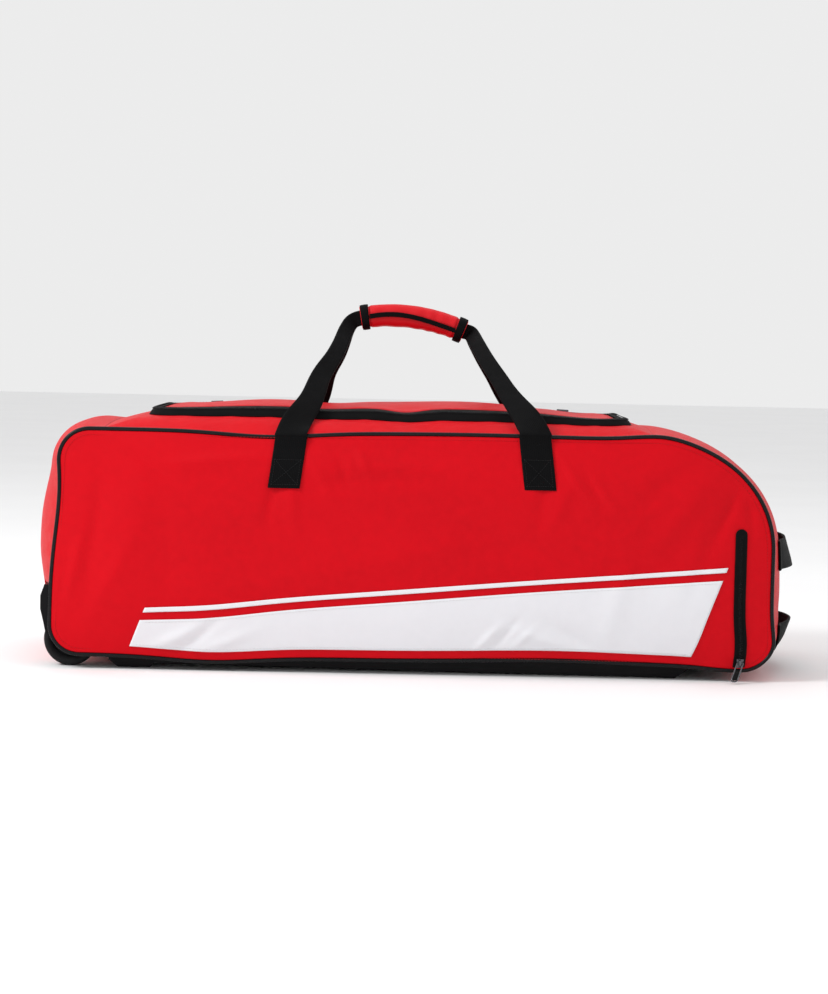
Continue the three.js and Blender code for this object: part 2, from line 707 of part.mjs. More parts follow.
function addRail(name, side) {
  const seat = base_z - cloth / 2 - seam_gap;
  const foot_start = rail_wheel_end_x + rail_foot_length * 0.3;
  const foot_end = foot_start + rail_foot_length;
  const outline = [
    { x: rail_wheel_end_x, z: seat }, { x: rail_wheel_end_x, z: seat * 0.55 }, { x: foot_start, z: 0 },
    { x: foot_end, z: 0 }, { x: foot_end + rail_arch, z: rail_arch },
    { x: rail_tow_end_x - rail_toe_length * 1.9, z: rail_arch * 0.15 },
    { x: rail_tow_end_x - rail_toe_length * 1.8, z: 0 }, { x: rail_tow_end_x - rail_toe_length * 0.8, z: 0 },
    { x: rail_tow_end_x, z: seat * 0.75 }, { x: rail_tow_end_x, z: seat },
  ];
  const y = side * track_half;
  add(`skid_rail_${name}`, extrudeAcross(outline, y - rail_width / 2, y + rail_width / 2), 'black_plastic');
}

addRail('front', -1);
addRail('back', 1);

// Top panel, zip and lid

// Loop of points round a rectangle with rounded corners, starting at the wheel end's middle and running
// along the front, the tow end and the back. Each point keeps its place in the loop.
function roundedLoop(x0, x1, half, radius, count) {
  const line = [];
  const quarter = (cx, cy, start) => {
    for (let i = 0; i <= 8; i++) {
      const angle = start + ((Math.PI / 2) * i) / 8;
      line.push({ x: cx + radius * Math.cos(angle), z: cy + radius * Math.sin(angle) });
    }
  };
  line.push({ x: x0, z: 0 });
  quarter(x0 + radius, -half + radius, Math.PI);
  quarter(x1 - radius, -half + radius, 1.5 * Math.PI);
  quarter(x1 - radius, half - radius, 0);
  quarter(x0 + radius, half - radius, 0.5 * Math.PI);
  line.push({ x: x0, z: 0 });
  return spaced(line, count).slice(0, -1).map((p) => ({ x: p.x, y: p.z }));
}

function lidWave(x, y) {
  let wave = 0;
  for (const row of lid_waves) {
    const along = (x - row.at * bag_length) / (row.long * bag_length);
    const across = (y - row.across * lid_half_depth) / (row.wide * lid_half_depth);
    wave += row.raise * bell(along) * bell(across);
  }
  return wave * lid_edge_rise;
}

// Height of the lid's plateau, lower towards its two ends
function lidHeight(x, y) {
  const middle = (lid_wheel_end_x + lid_tow_end_x) / 2;
  const u = (x - middle) / ((lid_tow_end_x - lid_wheel_end_x) / 2);
  const v = y / lid_half_depth;
  const crown = lid_crown * Math.max(0, (1 - u * u) * (1 - v * v));
  return top_z + lid_edge_rise - 5 * u * u + crown + lidWave(x, y);
}

function zipFootHeight(x, y) {
  return top_z + zip_foot_rise + 0.6 * lidWave(x, y);
}

const foot_half = lid_half_depth + zip_width_in_plan;
const foot_radius = lid_corner_radius + zip_width_in_plan;
const lid_loop = roundedLoop(
  lid_wheel_end_x + zip_width_in_plan, lid_tow_end_x - zip_width_in_plan,
  lid_half_depth, lid_corner_radius, ring_stations);
const foot_loop = lid_loop.map((p) => {
  const cx = THREE.MathUtils.clamp(p.x, lid_wheel_end_x + foot_radius, lid_tow_end_x - foot_radius);
  const cy = THREE.MathUtils.clamp(p.y, -foot_half + foot_radius, foot_half - foot_radius);
  const away = new THREE.Vector2(p.x - cx, p.y - cy).setLength(foot_radius);
  return { x: cx + away.x, y: cy + away.y };
});

// Rim of the top panel at a loop place: straight out to the nearest seam
function rimPoint(p) {
  const cx = THREE.MathUtils.clamp(p.x, lid_wheel_end_x + foot_radius, lid_tow_end_x - foot_radius);
  const cy = THREE.MathUtils.clamp(p.y, -foot_half + foot_radius, foot_half - foot_radius);
  const left = sag(top_seam_wheel_end_x, top_z).x;
  const right = sag(top_seam_tow_end_x, top_z).x;
  const dx = p.x - cx;
  const dy = p.y - cy;
  const reach_x = dx < 0 ? (left - cx) / dx : (right - cx) / dx;
  const reach_y = (Math.sign(dy) * gusset_half - cy) / dy;
  if (Math.abs(dx) < 1e-6) return { x: p.x, y: Math.sign(dy) * gusset_half };
  if (Math.abs(dy) < 1e-6) return { x: dx < 0 ? left : right, y: p.y };
  const reach = Math.min(reach_x, reach_y);
  return { x: cx + dx * reach, y: cy + dy * reach };
}

// The rim runs over the seams, and swells in the middle where it meets the end panels
function rimHeight(x, y) {
  const v = y / gusset_half;
  return sag(x, top_z).z + cloth / 2 + top_seam_swell * Math.max(0, 1 - v * v);
}

// The rim, with the nearest of its points drawn into each of the four corners
const rim_loop = foot_loop.map(rimPoint);
for (const seam_x of [top_seam_wheel_end_x, top_seam_tow_end_x]) {
  for (const y of [-gusset_half, gusset_half]) {
    const x = sag(seam_x, top_z).x;
    const away = rim_loop.map((p) => Math.hypot(p.x - x, p.y - y));
    rim_loop[away.indexOf(Math.min(...away))] = { x, y };
  }
}

const top_rings = [0, 0.35, 0.7, 1];
const top_grid = foot_loop.map((foot, i) => {
  const rim = rim_loop[i];
  const rim_z = rimHeight(rim.x, rim.y);
  return top_rings.map((t) => {
    const x = THREE.MathUtils.lerp(rim.x, foot.x, t);
    const y = THREE.MathUtils.lerp(rim.y, foot.y, t);
    const rise = Math.sin((t * Math.PI) / 2) ** 1.1;
    return new THREE.Vector3(x, y, THREE.MathUtils.lerp(rim_z, zipFootHeight(foot.x, foot.y), rise));
  });
});
add('top_panel', wallBelow(top_grid, new THREE.Vector3(0, 0, -cloth), true), 'red_cloth');

// The zip's slope between the top panel and the lid, at share t of the way up and place i in the loop,
// which may lie between two of the loop's points
function slopePoint(i, t, lift) {
  const at = (k) => {
    const foot = foot_loop[k % ring_stations];
    const lid = lid_loop[k % ring_stations];
    const low = new THREE.Vector3(foot.x, foot.y, zipFootHeight(foot.x, foot.y));
    return low.lerp(new THREE.Vector3(lid.x, lid.y, lidHeight(lid.x, lid.y)), t);
  };
  const whole = Math.floor(i);
  return at(whole).lerp(at(whole + 1), i - whole).add(new THREE.Vector3(0, 0, lift));
}

const plan_gap = seam_gap / zip_width_in_plan;
const in_hinge = lid_loop.map((p) => p.y > 0 && p.x > lid_wheel_end_x + foot_radius + hinge_corner_margin
  && p.x < lid_tow_end_x - foot_radius - hinge_corner_margin);
const hinge_start = in_hinge.indexOf(true);
const hinge_end = in_hinge.lastIndexOf(true);
const place_gap = seam_gap / slopePoint(hinge_start, 0, 0).distanceTo(slopePoint(hinge_start + 1, 0, 0));
const placesBetween = (a, b) => Array.from({ length: b - a + 1 }, (_, k) => (
  THREE.MathUtils.clamp(a + k, a + place_gap, b - place_gap)));
const zip_places = placesBetween(hinge_end, ring_stations + hinge_start);
const hinge_places = placesBetween(hinge_start, hinge_end);

function slopeBand(places, shares, lift, thickness) {
  const grid = places.map((i) => shares.map((t) => slopePoint(i, t, lift)));
  return wallBelow(grid, new THREE.Vector3(0, 0, -thickness));
}

const chain_half_share = chain_width / zip_width_in_plan / 2;
const chain_shares = [0.5 - chain_half_share, 0.5 + chain_half_share];
const tape_shares = [plan_gap, ...chain_shares, 1 - plan_gap];
const chain_lift = seam_gap + chain_thickness;
add('main_zip_tape', slopeBand(zip_places, tape_shares, 0, zip_tape_thickness), 'zip_tape');
const chain_places = zip_places.slice(1, -1);
add('main_zip_chain', slopeBand(chain_places, chain_shares, chain_lift, chain_thickness), 'zip_teeth');
add('lid_hinge', slopeBand(hinge_places, [plan_gap, 1 - plan_gap], 0, cloth), 'red_cloth');

// Plain sliders at the two hidden ends of the lid's zip
function addLidSlider(name, place, next) {
  const a = slopePoint(place, 0.5, 0);
  const along = slopePoint(next, 0.5, 0).sub(a).setZ(0).normalize();
  const up_slope = slopePoint(place, 1, 0).sub(slopePoint(place, 0, 0)).normalize();
  const out = new THREE.Vector3().crossVectors(along, up_slope);
  if (out.z < 0) out.negate();
  const middle = a.addScaledVector(out, zip_slider_height / 2 + lay_gap);
  const near = middle.clone().addScaledVector(along, -zip_slider_length);
  add(name, sweep([
    stripSection(near, up_slope, out, zip_slider_width * 0.7, zip_slider_height),
    stripSection(middle, up_slope, out, zip_slider_width, zip_slider_height),
  ]), 'dark_metal');
}

addLidSlider('lid_slider_wheel_end', hinge_end, hinge_end - 1);
addLidSlider('lid_slider_tow_end', hinge_start, hinge_start + 1);

// Lid: the ring of its edge drawn in towards a ridge line along the middle
function lidGrid() {
  const shares = [0, 0.25, 0.6];
  const ridge_half = 0.8 * ((lid_tow_end_x - lid_wheel_end_x) / 2 - lid_half_depth);
  const middle = (lid_wheel_end_x + lid_tow_end_x) / 2;
  return lid_loop.map((p) => {
    const edge_x = p.x;
    const edge_y = p.y;
    const ridge_x = middle + THREE.MathUtils.clamp((p.x - middle) * 0.8, -ridge_half, ridge_half);
    return shares.map((t) => {
      const inset = t === 0 ? seam_gap / lid_half_depth : t;
      const x = THREE.MathUtils.lerp(edge_x, ridge_x, inset);
      const y = THREE.MathUtils.lerp(edge_y, 0, inset);
      return new THREE.Vector3(x, y, lidHeight(x, y));
    });
  });
}

// Closes the ring of the lid's grid over its middle strip, top and underside alike
function lidGeometry() {
  const outer = lidGrid();
  const rows = outer.length;
  const columns = outer[0].length;
  const middle = (lid_wheel_end_x + lid_tow_end_x) / 2;
  const drop = new THREE.Vector3(0, 0, -cloth);
  const crown = new THREE.Vector3(middle, 0, lidHeight(middle, 0));
  const under = outer.flat().map((p) => p.clone().add(drop));
  const points = [...outer.flat(), ...under, crown, crown.clone().add(drop)];
  const at = (i, j, layer) => layer * rows * columns + (i % rows) * columns + j;
  const crown_at = 2 * rows * columns;
  const triangles = [];
  for (let i = 0; i < rows; i++) {
    for (let j = 0; j < columns - 1; j++) {
      triangles.push([at(i, j, 0), at(i + 1, j, 0), at(i + 1, j + 1, 0)]);
      triangles.push([at(i, j, 0), at(i + 1, j + 1, 0), at(i, j + 1, 0)]);
      triangles.push([at(i, j, 1), at(i + 1, j + 1, 1), at(i + 1, j, 1)]);
      triangles.push([at(i, j, 1), at(i, j + 1, 1), at(i + 1, j + 1, 1)]);
    }
    triangles.push([at(i, 0, 0), at(i, 0, 1), at(i + 1, 0, 1)]);
    triangles.push([at(i, 0, 0), at(i + 1, 0, 1), at(i + 1, 0, 0)]);
    triangles.push([at(i, columns - 1, 0), at(i + 1, columns - 1, 0), crown_at]);
    triangles.push([at(i, columns - 1, 1), crown_at + 1, at(i + 1, columns - 1, 1)]);
  }
  return closedGeometry(points, triangles);
}

add('lid', lidGeometry(), 'red_cloth');

// Carry handle: two webbing straps from the sides up to one padded grip

const grip_wheel_end_x = grip_offset_x - grip_length / 2;
const grip_tow_end_x = grip_offset_x + grip_length / 2;
const strap_side = folded_thickness / 2 + 1;

// Middle line of the grip: t runs from 0 at its wheel end to 1 at its tow end
function gripMiddle(t) {
  const arch = grip_arch * (1 - (2 * t - 1) ** 2);
  return new THREE.Vector3(
    THREE.MathUtils.lerp(grip_wheel_end_x, grip_tow_end_x, t), 0,
    top_z + handle_rise - handle_drop_at_tow_end * t + arch);
}

// Stations of a strap: its middle, how far it has folded lengthwise, and a level direction across it
// where it is sewn down and bends over the seam
function strapStations(side) {
  const stations = [];
  const half = strap_spacing / 2;
  const base_lift = lay_gap + webbing_thickness / 2;
  const shares = [0, 0.3, 0.6, 0.85, 1];
  const sewn = (end) => shares.map((t) => {
    const z = top_z - strap_base_length * (1 - t);
    const x = strap_offset_x + end * (half - strap_skew * t);
    const lift = base_lift + (t > 0.8 ? piping_radius : 0);
    const middle = sidePoint(side, x, Math.min(z, top_z - panel_inset), lift);
    return { middle: middle.setZ(sag(x, z).z), fold: 0, level: new THREE.Vector3(-end * side, 0, 0) };
  });
  const free = (end) => {
    const from_x = strap_offset_x + end * (half - strap_skew);
    const from = new THREE.Vector3(
      from_x, side * (half_depth + base_lift + lay_gap), sag(from_x, top_z).z + piping_diameter);
    const to = gripMiddle(end < 0 ? 0 : 1).setY(side * strap_side);
    const key = end < 0 ? 'wheel_end' : 'tow_end';
    const fold_rate = end < 0 ? strap_fold_rate_wheel_end : strap_fold_rate_tow_end;
    const rows = [{ back: 0, [`in_${key}`]: 0, [`up_${key}`]: 0 }, ...strap_run];
    return rows.map((row) => {
      const middle = new THREE.Vector3(
        THREE.MathUtils.lerp(from.x, to.x, row[`in_${key}`]),
        THREE.MathUtils.lerp(from.y, to.y, row.back),
        THREE.MathUtils.lerp(from.z, to.z, row[`up_${key}`]));
      const level = row.back === 0 ? new THREE.Vector3(-end * side, 0, 0) : undefined;
      return { middle, fold: 1 - (1 - row.back) ** fold_rate, level };
    });
  };
  stations.push(...sewn(-1), ...free(-1));
  for (const t of [0.02, 0.2, 0.35, 0.5, 0.65, 0.8, 0.98]) {
    stations.push({ middle: gripMiddle(t).setY(side * strap_side), fold: 1 });
  }
  stations.push(...free(1).reverse(), ...sewn(1).reverse());
  return stations;
}

// The webbing's face turns as far outwards as its run allows, so that its edge is upright in the grip
function strapSections(side) {
  const outward = new THREE.Vector3(0, side, 0);
  const stations = strapStations(side);
  return stations.map((station, i) => {
    const before = stations[Math.max(i - 1, 0)].middle;
    const after = stations[Math.min(i + 1, stations.length - 1)].middle;
    const along = after.clone().sub(before).normalize();
    const through = outward.clone().addScaledVector(along, -outward.dot(along)).normalize();
    const across = station.level ?? new THREE.Vector3().crossVectors(through, along);
    return stripSection(station.middle, across, through,
      THREE.MathUtils.lerp(webbing_width, folded_width, station.fold),
      THREE.MathUtils.lerp(webbing_thickness, folded_thickness, station.fold));
  });
}

add('carry_strap_front', sweep(strapSections(-1)), 'black_webbing');
add('carry_strap_back', sweep(strapSections(1)), 'black_webbing');

// Oval section of the grip at t, grown by a lift off its surface
function gripOval(t, height, depth, lift, sides) {
  const middle = gripMiddle(t);
  const before = gripMiddle(t - 0.01);
  const along = gripMiddle(t + 0.01).sub(before).normalize();
  const up = new THREE.Vector3(-along.z, 0, along.x);
  return Array.from({ length: sides }, (_, k) => {
    const angle = (2 * Math.PI * k) / sides;
    const bulge = (c) => Math.sign(c) * Math.abs(c) ** 0.8;
    return middle.clone().addScaledVector(up, (height / 2 + lift) * bulge(Math.sin(angle)))
      .add(new THREE.Vector3(0, (depth / 2 + lift) * bulge(Math.cos(angle)), 0));
  });
}

// A sleeve between an outer and an inner row of like sections
function sleeve(outer, inner) {
  const grid = (sections) => sections[0].map((_, k) => sections.map((section) => section[k]));
  return wallBetween(grid(outer), grid(inner), true);
}

function gripSlot(t) {
  const middle = gripMiddle(t);
  const box = gripOval(t, grip_slot_height, grip_slot_depth, 0, grip_sides);
  return box.map((p) => {
    const dy = THREE.MathUtils.clamp((p.y - middle.y) * 1.25, -grip_slot_depth / 2, grip_slot_depth / 2);
    const dz = THREE.MathUtils.clamp((p.z - middle.z) * 1.9, -grip_slot_height / 2, grip_slot_height / 2);
    return new THREE.Vector3(p.x, middle.y + dy, middle.z + dz);
  });
}

const grip_steps = [0, 0.1, 0.25, 0.4, 0.55, 0.7, 0.85, 1];
const puff = (t) => 1 + 0.06 * Math.sin(Math.PI * t);
add('grip_wrap', sleeve(
  grip_steps.map((t) => gripOval(t, grip_height * puff(t), grip_depth, 0, grip_sides)),
  grip_steps.map((t) => gripSlot(t))), 'red_cloth');

function addGripBinding(name, t0) {
  const width = grip_binding_width / grip_length;
  const ends = [t0, t0 + width];
  const ring = (lift) => ends.map((t) => gripOval(t, grip_height * puff(t), grip_depth, lift, grip_sides));
  add(name, sleeve(ring(lay_gap + grip_binding_thickness), ring(lay_gap)), 'black_webbing');
}

addGripBinding('grip_binding_wheel_end', 0.005);
addGripBinding('grip_binding_tow_end', 0.995 - grip_binding_width / grip_length);

// Binding along the edge of the grip's flap, wavy along the front of the wrap
function flapStrip() {
  const stations = [0.095, 0.2, 0.32, 0.45, 0.58, 0.7, 0.8, 0.9];
  const across = new THREE.Vector3(0, 0, 1);
  const through = new THREE.Vector3(0, 1, 0);
  return stations.map((t) => {
    const lift = lay_gap + flap_binding_thickness;
    const front = gripOval(t, grip_height * puff(t), grip_depth, lift, grip_sides)[grip_sides / 2];
    const rise = flap_wave * Math.sin(t * flap_wave_turn) - 1;
    const middle = front.add(new THREE.Vector3(0, 0, rise));
    return stripSection(middle, across, through, flap_binding_width, flap_binding_thickness);
  });
}

add('grip_flap_binding', sweep(flapStrip()), 'black_webbing');

// White flash and pinstripe laid on the front panel

// A band on the front between two lines, each of which gives its height at a share of the way along.
// Its ends lean towards the tow end.
function frontBand(low, high, rows) {
  const columns = 20;
  const grid = Array.from({ length: columns + 1 }, (_, i) => {
    const u = i / columns;
    return Array.from({ length: rows + 1 }, (_unused, j) => {
      const v = j / rows;
      const z = THREE.MathUtils.lerp(low(u), high(u), v);
      const rise = (z - base_z - flash_foot_margin) / flash_height_tow_end;
      const x = THREE.MathUtils.lerp(flash_wheel_end_x, flash_tow_end_x, u) + flash_lean * rise;
      return sidePoint(-1, x, z, lay_gap + flash_thickness);
    });
  });
  return wallBelow(grid, new THREE.Vector3(0, flash_thickness, 0));
}

const flash_low = () => base_z + flash_foot_margin;
const flash_high = (u) => flash_low() + THREE.MathUtils.lerp(flash_height_wheel_end, flash_height_tow_end, u);
const stripe_low = (u) => flash_high(u) + pinstripe_space;
const stripe_high = (u) => stripe_low(u) + pinstripe_width;
add('side_flash', frontBand(flash_low, flash_high, 3), 'white_cloth');
add('side_pinstripe', frontBand(stripe_low, stripe_high, 1), 'white_cloth');

// Pocket zip down the front panel at the tow end, with its slider and swinging pull

const zip_low = base_z + pocket_zip_foot;
const zip_high = zip_low + pocket_zip_length;

// A strip down the pocket zip, rounded at its head
function zipStrip(width, thickness, lift, low, high, round) {
  const shares = [0, 0.12, 0.25, 0.4, 0.55, 0.7, 0.84, 0.93];
  const rows = shares.map((t) => ({ z: THREE.MathUtils.lerp(low, high, t), half: width / 2 }));
  if (round) {
    for (const angle of [15, 40, 62, 78]) {
      const turn = THREE.MathUtils.degToRad(angle);
      rows.push({ z: high - width / 2 + (width / 2) * Math.sin(turn), half: (width / 2) * Math.cos(turn) });
    }
  } else rows.push({ z: high, half: width / 2 });
  const place = (row, v) => sidePoint(-1, pocket_zip_x + v * row.half, row.z, lift + thickness);
  const grid = rows.map((row) => [-1, 0, 1].map((v) => place(row, v)));
  return wallBelow(grid, new THREE.Vector3(0, thickness, 0));
}

const teeth_lift = lay_gap + pocket_tape_thickness + seam_gap;
const teeth_low = zip_low + slider_length + seam_gap;
const teeth_high = zip_high - pocket_tape_width / 2;
const tape_strip = zipStrip(pocket_tape_width, pocket_tape_thickness, lay_gap, zip_low, zip_high, true);
const teeth_strip = zipStrip(
  pocket_chain_width, pocket_chain_thickness, teeth_lift, teeth_low, teeth_high, false);
add('pocket_zip_tape', tape_strip, 'zip_tape');
add('pocket_zip_chain', teeth_strip, 'zip_teeth');

const slider_z = zip_low + slider_length / 2;
const sliderPlace = (z) => sidePoint(-1, pocket_zip_x, z, teeth_lift + slider_height / 2);
const slider_middle = sliderPlace(slider_z);
const eye_radius = pull_wire / 2 + 0.5;
const eye_z = slider_middle.z + slider_length * 0.1;
const eye_y = slider_middle.y - slider_height / 2 - eye_radius;
const eye_wall = 1.3;
const bail_width = 2.6;

// Slider: a wedge-shaped body with a bail that the pull hangs on
function sliderGeometry() {
  const across = new THREE.Vector3(1, 0, 0);
  const through = new THREE.Vector3(0, 1, 0);
  const low = sliderPlace(slider_z - slider_length / 2);
  const high = sliderPlace(slider_z + slider_length / 2);
  const body = sweep([
    stripSection(low, across, through, slider_width * 0.66, slider_height),
    stripSection(high, across, through, slider_width, slider_height),
  ]);
  const bail_root = slider_middle.y + slider_height * 0.4;
  const bail_face = eye_y - eye_radius - eye_wall;
  const bail = extrudeAcross([
    { x: bail_root, z: slider_middle.z + slider_length * 0.42 },
    { x: bail_root, z: slider_middle.z - slider_length * 0.42 },
    { x: bail_face, z: eye_z - eye_radius - eye_wall },
    { x: bail_face, z: eye_z + eye_radius + eye_wall },
  ], -bail_width / 2, bail_width / 2);
  bail.rotateZ(Math.PI / 2);
  bail.translate(slider_middle.x, 0, 0);
  const eye = new THREE.CylinderGeometry(eye_radius, eye_radius, slider_width * 2, 12);
  eye.rotateZ(Math.PI / 2);
  eye.translate(slider_middle.x, eye_y, eye_z);
  const joined = toManifold(body).add(toManifold(bail)).subtract(toManifold(eye));
  return fromManifold(joined);
}

add('pocket_zip_slider', sliderGeometry(), 'dark_metal');

// Pull: a bent wire ring, leaning out from the slider and back towards the wheel end
function pullGeometry() {
  const half = pull_width / 2 - pull_wire / 2;
  const foot = pull_length - pull_wire;
  const skew = Math.tan(THREE.MathUtils.degToRad(pull_skew_deg));
  const path = [
    [-half, 0], [-half, -foot * 0.5], [-half, -foot + pull_bend], [-half + pull_bend, -foot],
    [half - pull_bend, -foot], [half, -foot + pull_bend], [half, -foot * 0.5], [half, 0],
  ].map(([x, z]) => [x + skew * z, z]);
  const normal = (a, b) => new THREE.Vector3(b[1] - a[1], 0, a[0] - b[0]).normalize();
  const sections = path.map(([x, z], i) => {
    const before = normal(path[(i + path.length - 1) % path.length], [x, z]);
    const after = normal([x, z], path[(i + 1) % path.length]);
    const out = before.clone().add(after).divideScalar(1 + before.dot(after));
    return Array.from({ length: 6 }, (_, k) => {
      const angle = (Math.PI * (2 * k + 1)) / 6;
      return new THREE.Vector3(x, 0, z).addScaledVector(out, (pull_wire / 2) * Math.cos(angle))
        .add(new THREE.Vector3(0, (pull_wire / 2) * Math.sin(angle), 0));
    });
  });
  const geometry = sweep(sections, true);
  geometry.rotateX(-THREE.MathUtils.degToRad(90 - pull_lean_deg));
  geometry.translate(slider_middle.x, eye_y, eye_z);
  return geometry;
}

add('pocket_zip_pull', pullGeometry(), 'dark_metal');

// Webbing handles across the tow end

// Outer face of the tow end at a height and a place across the bag
function towSurfaceX(z, y) {
  const v = y / gusset_half;
  const face = tow_end_run.map((station) => {
    const swell = towCrown(station.share) * (1 - v * v) + cloth / 2;
    return { x: station.x + swell * station.out.x, z: station.z + swell * station.out.z };
  });
  const next = Math.max(1, face.findIndex((p, i) => p.z >= z && i > 1));
  const a = face[next - 1];
  const b = face[next];
  return THREE.MathUtils.mapLinear(z, a.z, b.z, a.x, b.x);
}

// A strap sewn down at both ends that stands off the bag between them. flare lets its upper edge out.
function towHandle(height, flare) {
  const places = [-1, -0.89, -0.74, -0.52, -0.26, 0, 0.26, 0.52, 0.74, 0.89, 1];
  const rows = [-1, -0.66, -0.33, 0, 0.33, 0.66, 1];
  const sewn = 1 - tow_handle_tab / tow_handle_half_span;
  const grid = places.map((place) => rows.map((w) => {
    const y = place * tow_handle_half_span;
    const z = base_z + height + (w * tow_webbing_width) / 2;
    const arch = Math.max(0, 1 - (place / sewn) ** 2);
    const lift = tab_gap + tow_webbing_thickness + arch * (tow_handle_stand_off + flare * w);
    return new THREE.Vector3(towSurfaceX(z, y) + lift, y, z);
  }));
  return wallBelow(grid, new THREE.Vector3(-tow_webbing_thickness, 0, 0));
}

add('tow_handle_upper', towHandle(upper_handle_height, -upper_handle_flare), 'black_webbing');
add('tow_handle_lower', towHandle(lower_handle_height, lower_handle_flare), 'black_webbing');

// The origin is the middle of the bag's footprint, on the floor
const extent = new THREE.Box3().setFromObject(bag);
bag.position.set(-(extent.min.x + extent.max.x) / 2, -(extent.min.y + extent.max.y) / 2, -extent.min.z);

export default bag;
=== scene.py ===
"""A wheeled cricket kit bag of red cloth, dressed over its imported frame.

Sizes are in millimetres in the bag's own frame, with X along the bag towards the tow end, Y across it
towards the back and Z up. to_frame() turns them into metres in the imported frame.
"""
import math
from collections import namedtuple

import bmesh
import bpy
import numpy as np
from mathutils import Matrix, Vector


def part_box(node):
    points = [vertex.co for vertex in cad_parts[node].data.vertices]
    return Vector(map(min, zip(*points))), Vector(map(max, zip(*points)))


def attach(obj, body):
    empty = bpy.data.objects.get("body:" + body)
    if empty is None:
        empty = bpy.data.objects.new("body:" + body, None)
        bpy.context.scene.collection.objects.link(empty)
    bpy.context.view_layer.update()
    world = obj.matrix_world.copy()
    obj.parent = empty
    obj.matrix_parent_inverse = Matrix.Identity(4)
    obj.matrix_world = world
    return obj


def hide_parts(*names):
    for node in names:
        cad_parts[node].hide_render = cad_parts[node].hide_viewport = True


bl_info = {
    "name": "Wheeled kit bag",
    "version": (1, 0, 0),
    "blender": (4, 5, 0),
    "location": "View3D > Sidebar > Kit bag",
    "description": "Builds the cloth, webbing, zips and wheels of a wheeled cricket kit bag",
    "category": "Object",
}

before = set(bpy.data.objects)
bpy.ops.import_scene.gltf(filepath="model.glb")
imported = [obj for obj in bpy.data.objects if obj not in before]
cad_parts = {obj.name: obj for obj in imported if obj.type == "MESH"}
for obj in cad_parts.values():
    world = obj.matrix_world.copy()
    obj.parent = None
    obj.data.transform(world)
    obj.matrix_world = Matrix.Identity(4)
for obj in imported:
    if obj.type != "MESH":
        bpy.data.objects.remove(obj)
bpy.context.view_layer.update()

# The bag's main sizes, as the frame has them
BAG_LENGTH = 907.0
BAG_HEIGHT = 284.5
BAG_DEPTH = 330.0
BASE_Z = 18.0
CLOTH = 2.0
PIPING_DIAMETER = 5.0
SEAM_GAP = 0.3
LAY_GAP = 0.6
HALF_LENGTH = BAG_LENGTH / 2
HALF_DEPTH = BAG_DEPTH / 2
TOP_Z = BASE_Z + BAG_HEIGHT
PIPING_RADIUS = PIPING_DIAMETER / 2
GUSSET_HALF = HALF_DEPTH - PIPING_DIAMETER - SEAM_GAP
FACE_Y = HALF_DEPTH - PIPING_RADIUS + CLOTH / 2
SIDE_SWELL = 14.0
SWELL_RUN_X = 160.0
SWELL_RUN_Z = 110.0
CREASE_RIM = 26.0
SIDE_EDGE_GAP = 0.1
WHEEL_END_SWELL = 39.0
TOW_END_SWELL = 28.0
TOP_SEAM_SWELL = 5.5
END_RUN = 700.0
CROWN_BLUR = 9

# Each corner of the bag's outline: centre, radii and the angle where its quarter turn starts
CORNERS = {
    "wheel_end_low": (-HALF_LENGTH + 38, BASE_Z + 38, 38, 38, math.pi),
    "tow_end_low": (HALF_LENGTH - 35, BASE_Z + 35, 35, 35, 1.5 * math.pi),
    "shoulder": (HALF_LENGTH - 152, TOP_Z - 137, 152, 137, 0.0),
    "wheel_end_top": (-HALF_LENGTH + 44, TOP_Z - 44, 44, 44, 0.5 * math.pi),
}

TOP_SEAM_WHEEL_END_X = -392.0
TOP_SEAM_TOW_END_X = 301.0
BASE_SEAM_WHEEL_END_X = -378.0
BASE_SEAM_TOW_END_X = 404.0
TRACK_HALF = 130.0
WHEEL_X = -430.0
WHEEL_RADIUS = 34.0
WHEEL_WIDTH = 24.0
HUB_RADIUS = 22.0
HUB_WIDTH = 20.0
AXLE_RADIUS = 4.0
HOUSING_INNER_Y = 102.5
HOUSING_HEAD_Z = BASE_Z + 87
RAIL_HALF_WIDTH = 11.0
RAIL_MARGIN = 2.0
RUNNING_GAP = 0.5

# Lid and zip
LID_X = (-341.0, 279.0)
LID_MIDDLE_X = sum(LID_X) / 2
ZIP_WIDTH = 17.0
LID_HALF_DEPTH = 104.0
LID_CORNER = 30.0
ZIP_FOOT_RISE = 16.0
LID_EDGE_RISE = 30.0
LID_END_FALL = 5.0
LID_CROWN = 5.0
ZIP_FOOT_WAVE = 0.6
TOP_RISE_POWER = 1.1

# How far the lid's zip bulges, up and out; its tape's wall and the raise of the tape's two edges
ZIP_ROLL = (3.4, 2.2)
ZIP_TAPE = 1.2
ZIP_EDGE_RAISE = 0.35

# Zip teeth: pitch, lift off the tape, how far they stand to either side, and their size
Teeth = namedtuple("Teeth", "pitch lift stagger length width height")
LID_TEETH = Teeth(1.5, 0.9, 1.0, 3.8, 1.15, 0.8)
POCKET_TEETH = Teeth(1.5, 0.7, 0.8, 3.2, 1.15, 0.7)

FOOT_HALF = LID_HALF_DEPTH + ZIP_WIDTH
FOOT_CORNER = LID_CORNER + ZIP_WIDTH
HINGE_BULGE = 1.1
LID_STATIONS = 432

# Carry handle
WEBBING_WIDTH = 40.0
WEBBING_THICKNESS = 2.0
FOLDED_WIDTH = 20.0
FOLDED_THICKNESS = 4.0
STRAP_HALF_SPACING = 160.0
STRAP_OFFSET_X = -1.0
STRAP_BASE = 66.0
STRAP_SKEW = 8.0
STRAP_FOLD_RATE = {-1: 2, 1: 4}
STRAP_SIDE = FOLDED_THICKNESS / 2 + 1
STRAP_SEAM_MARGIN = 1.1

# Slack of a free strap: how far it strays, and the steps of its bends along the bag and across it
STRAP_SLACK = (1.6, 17.0, 23.0)

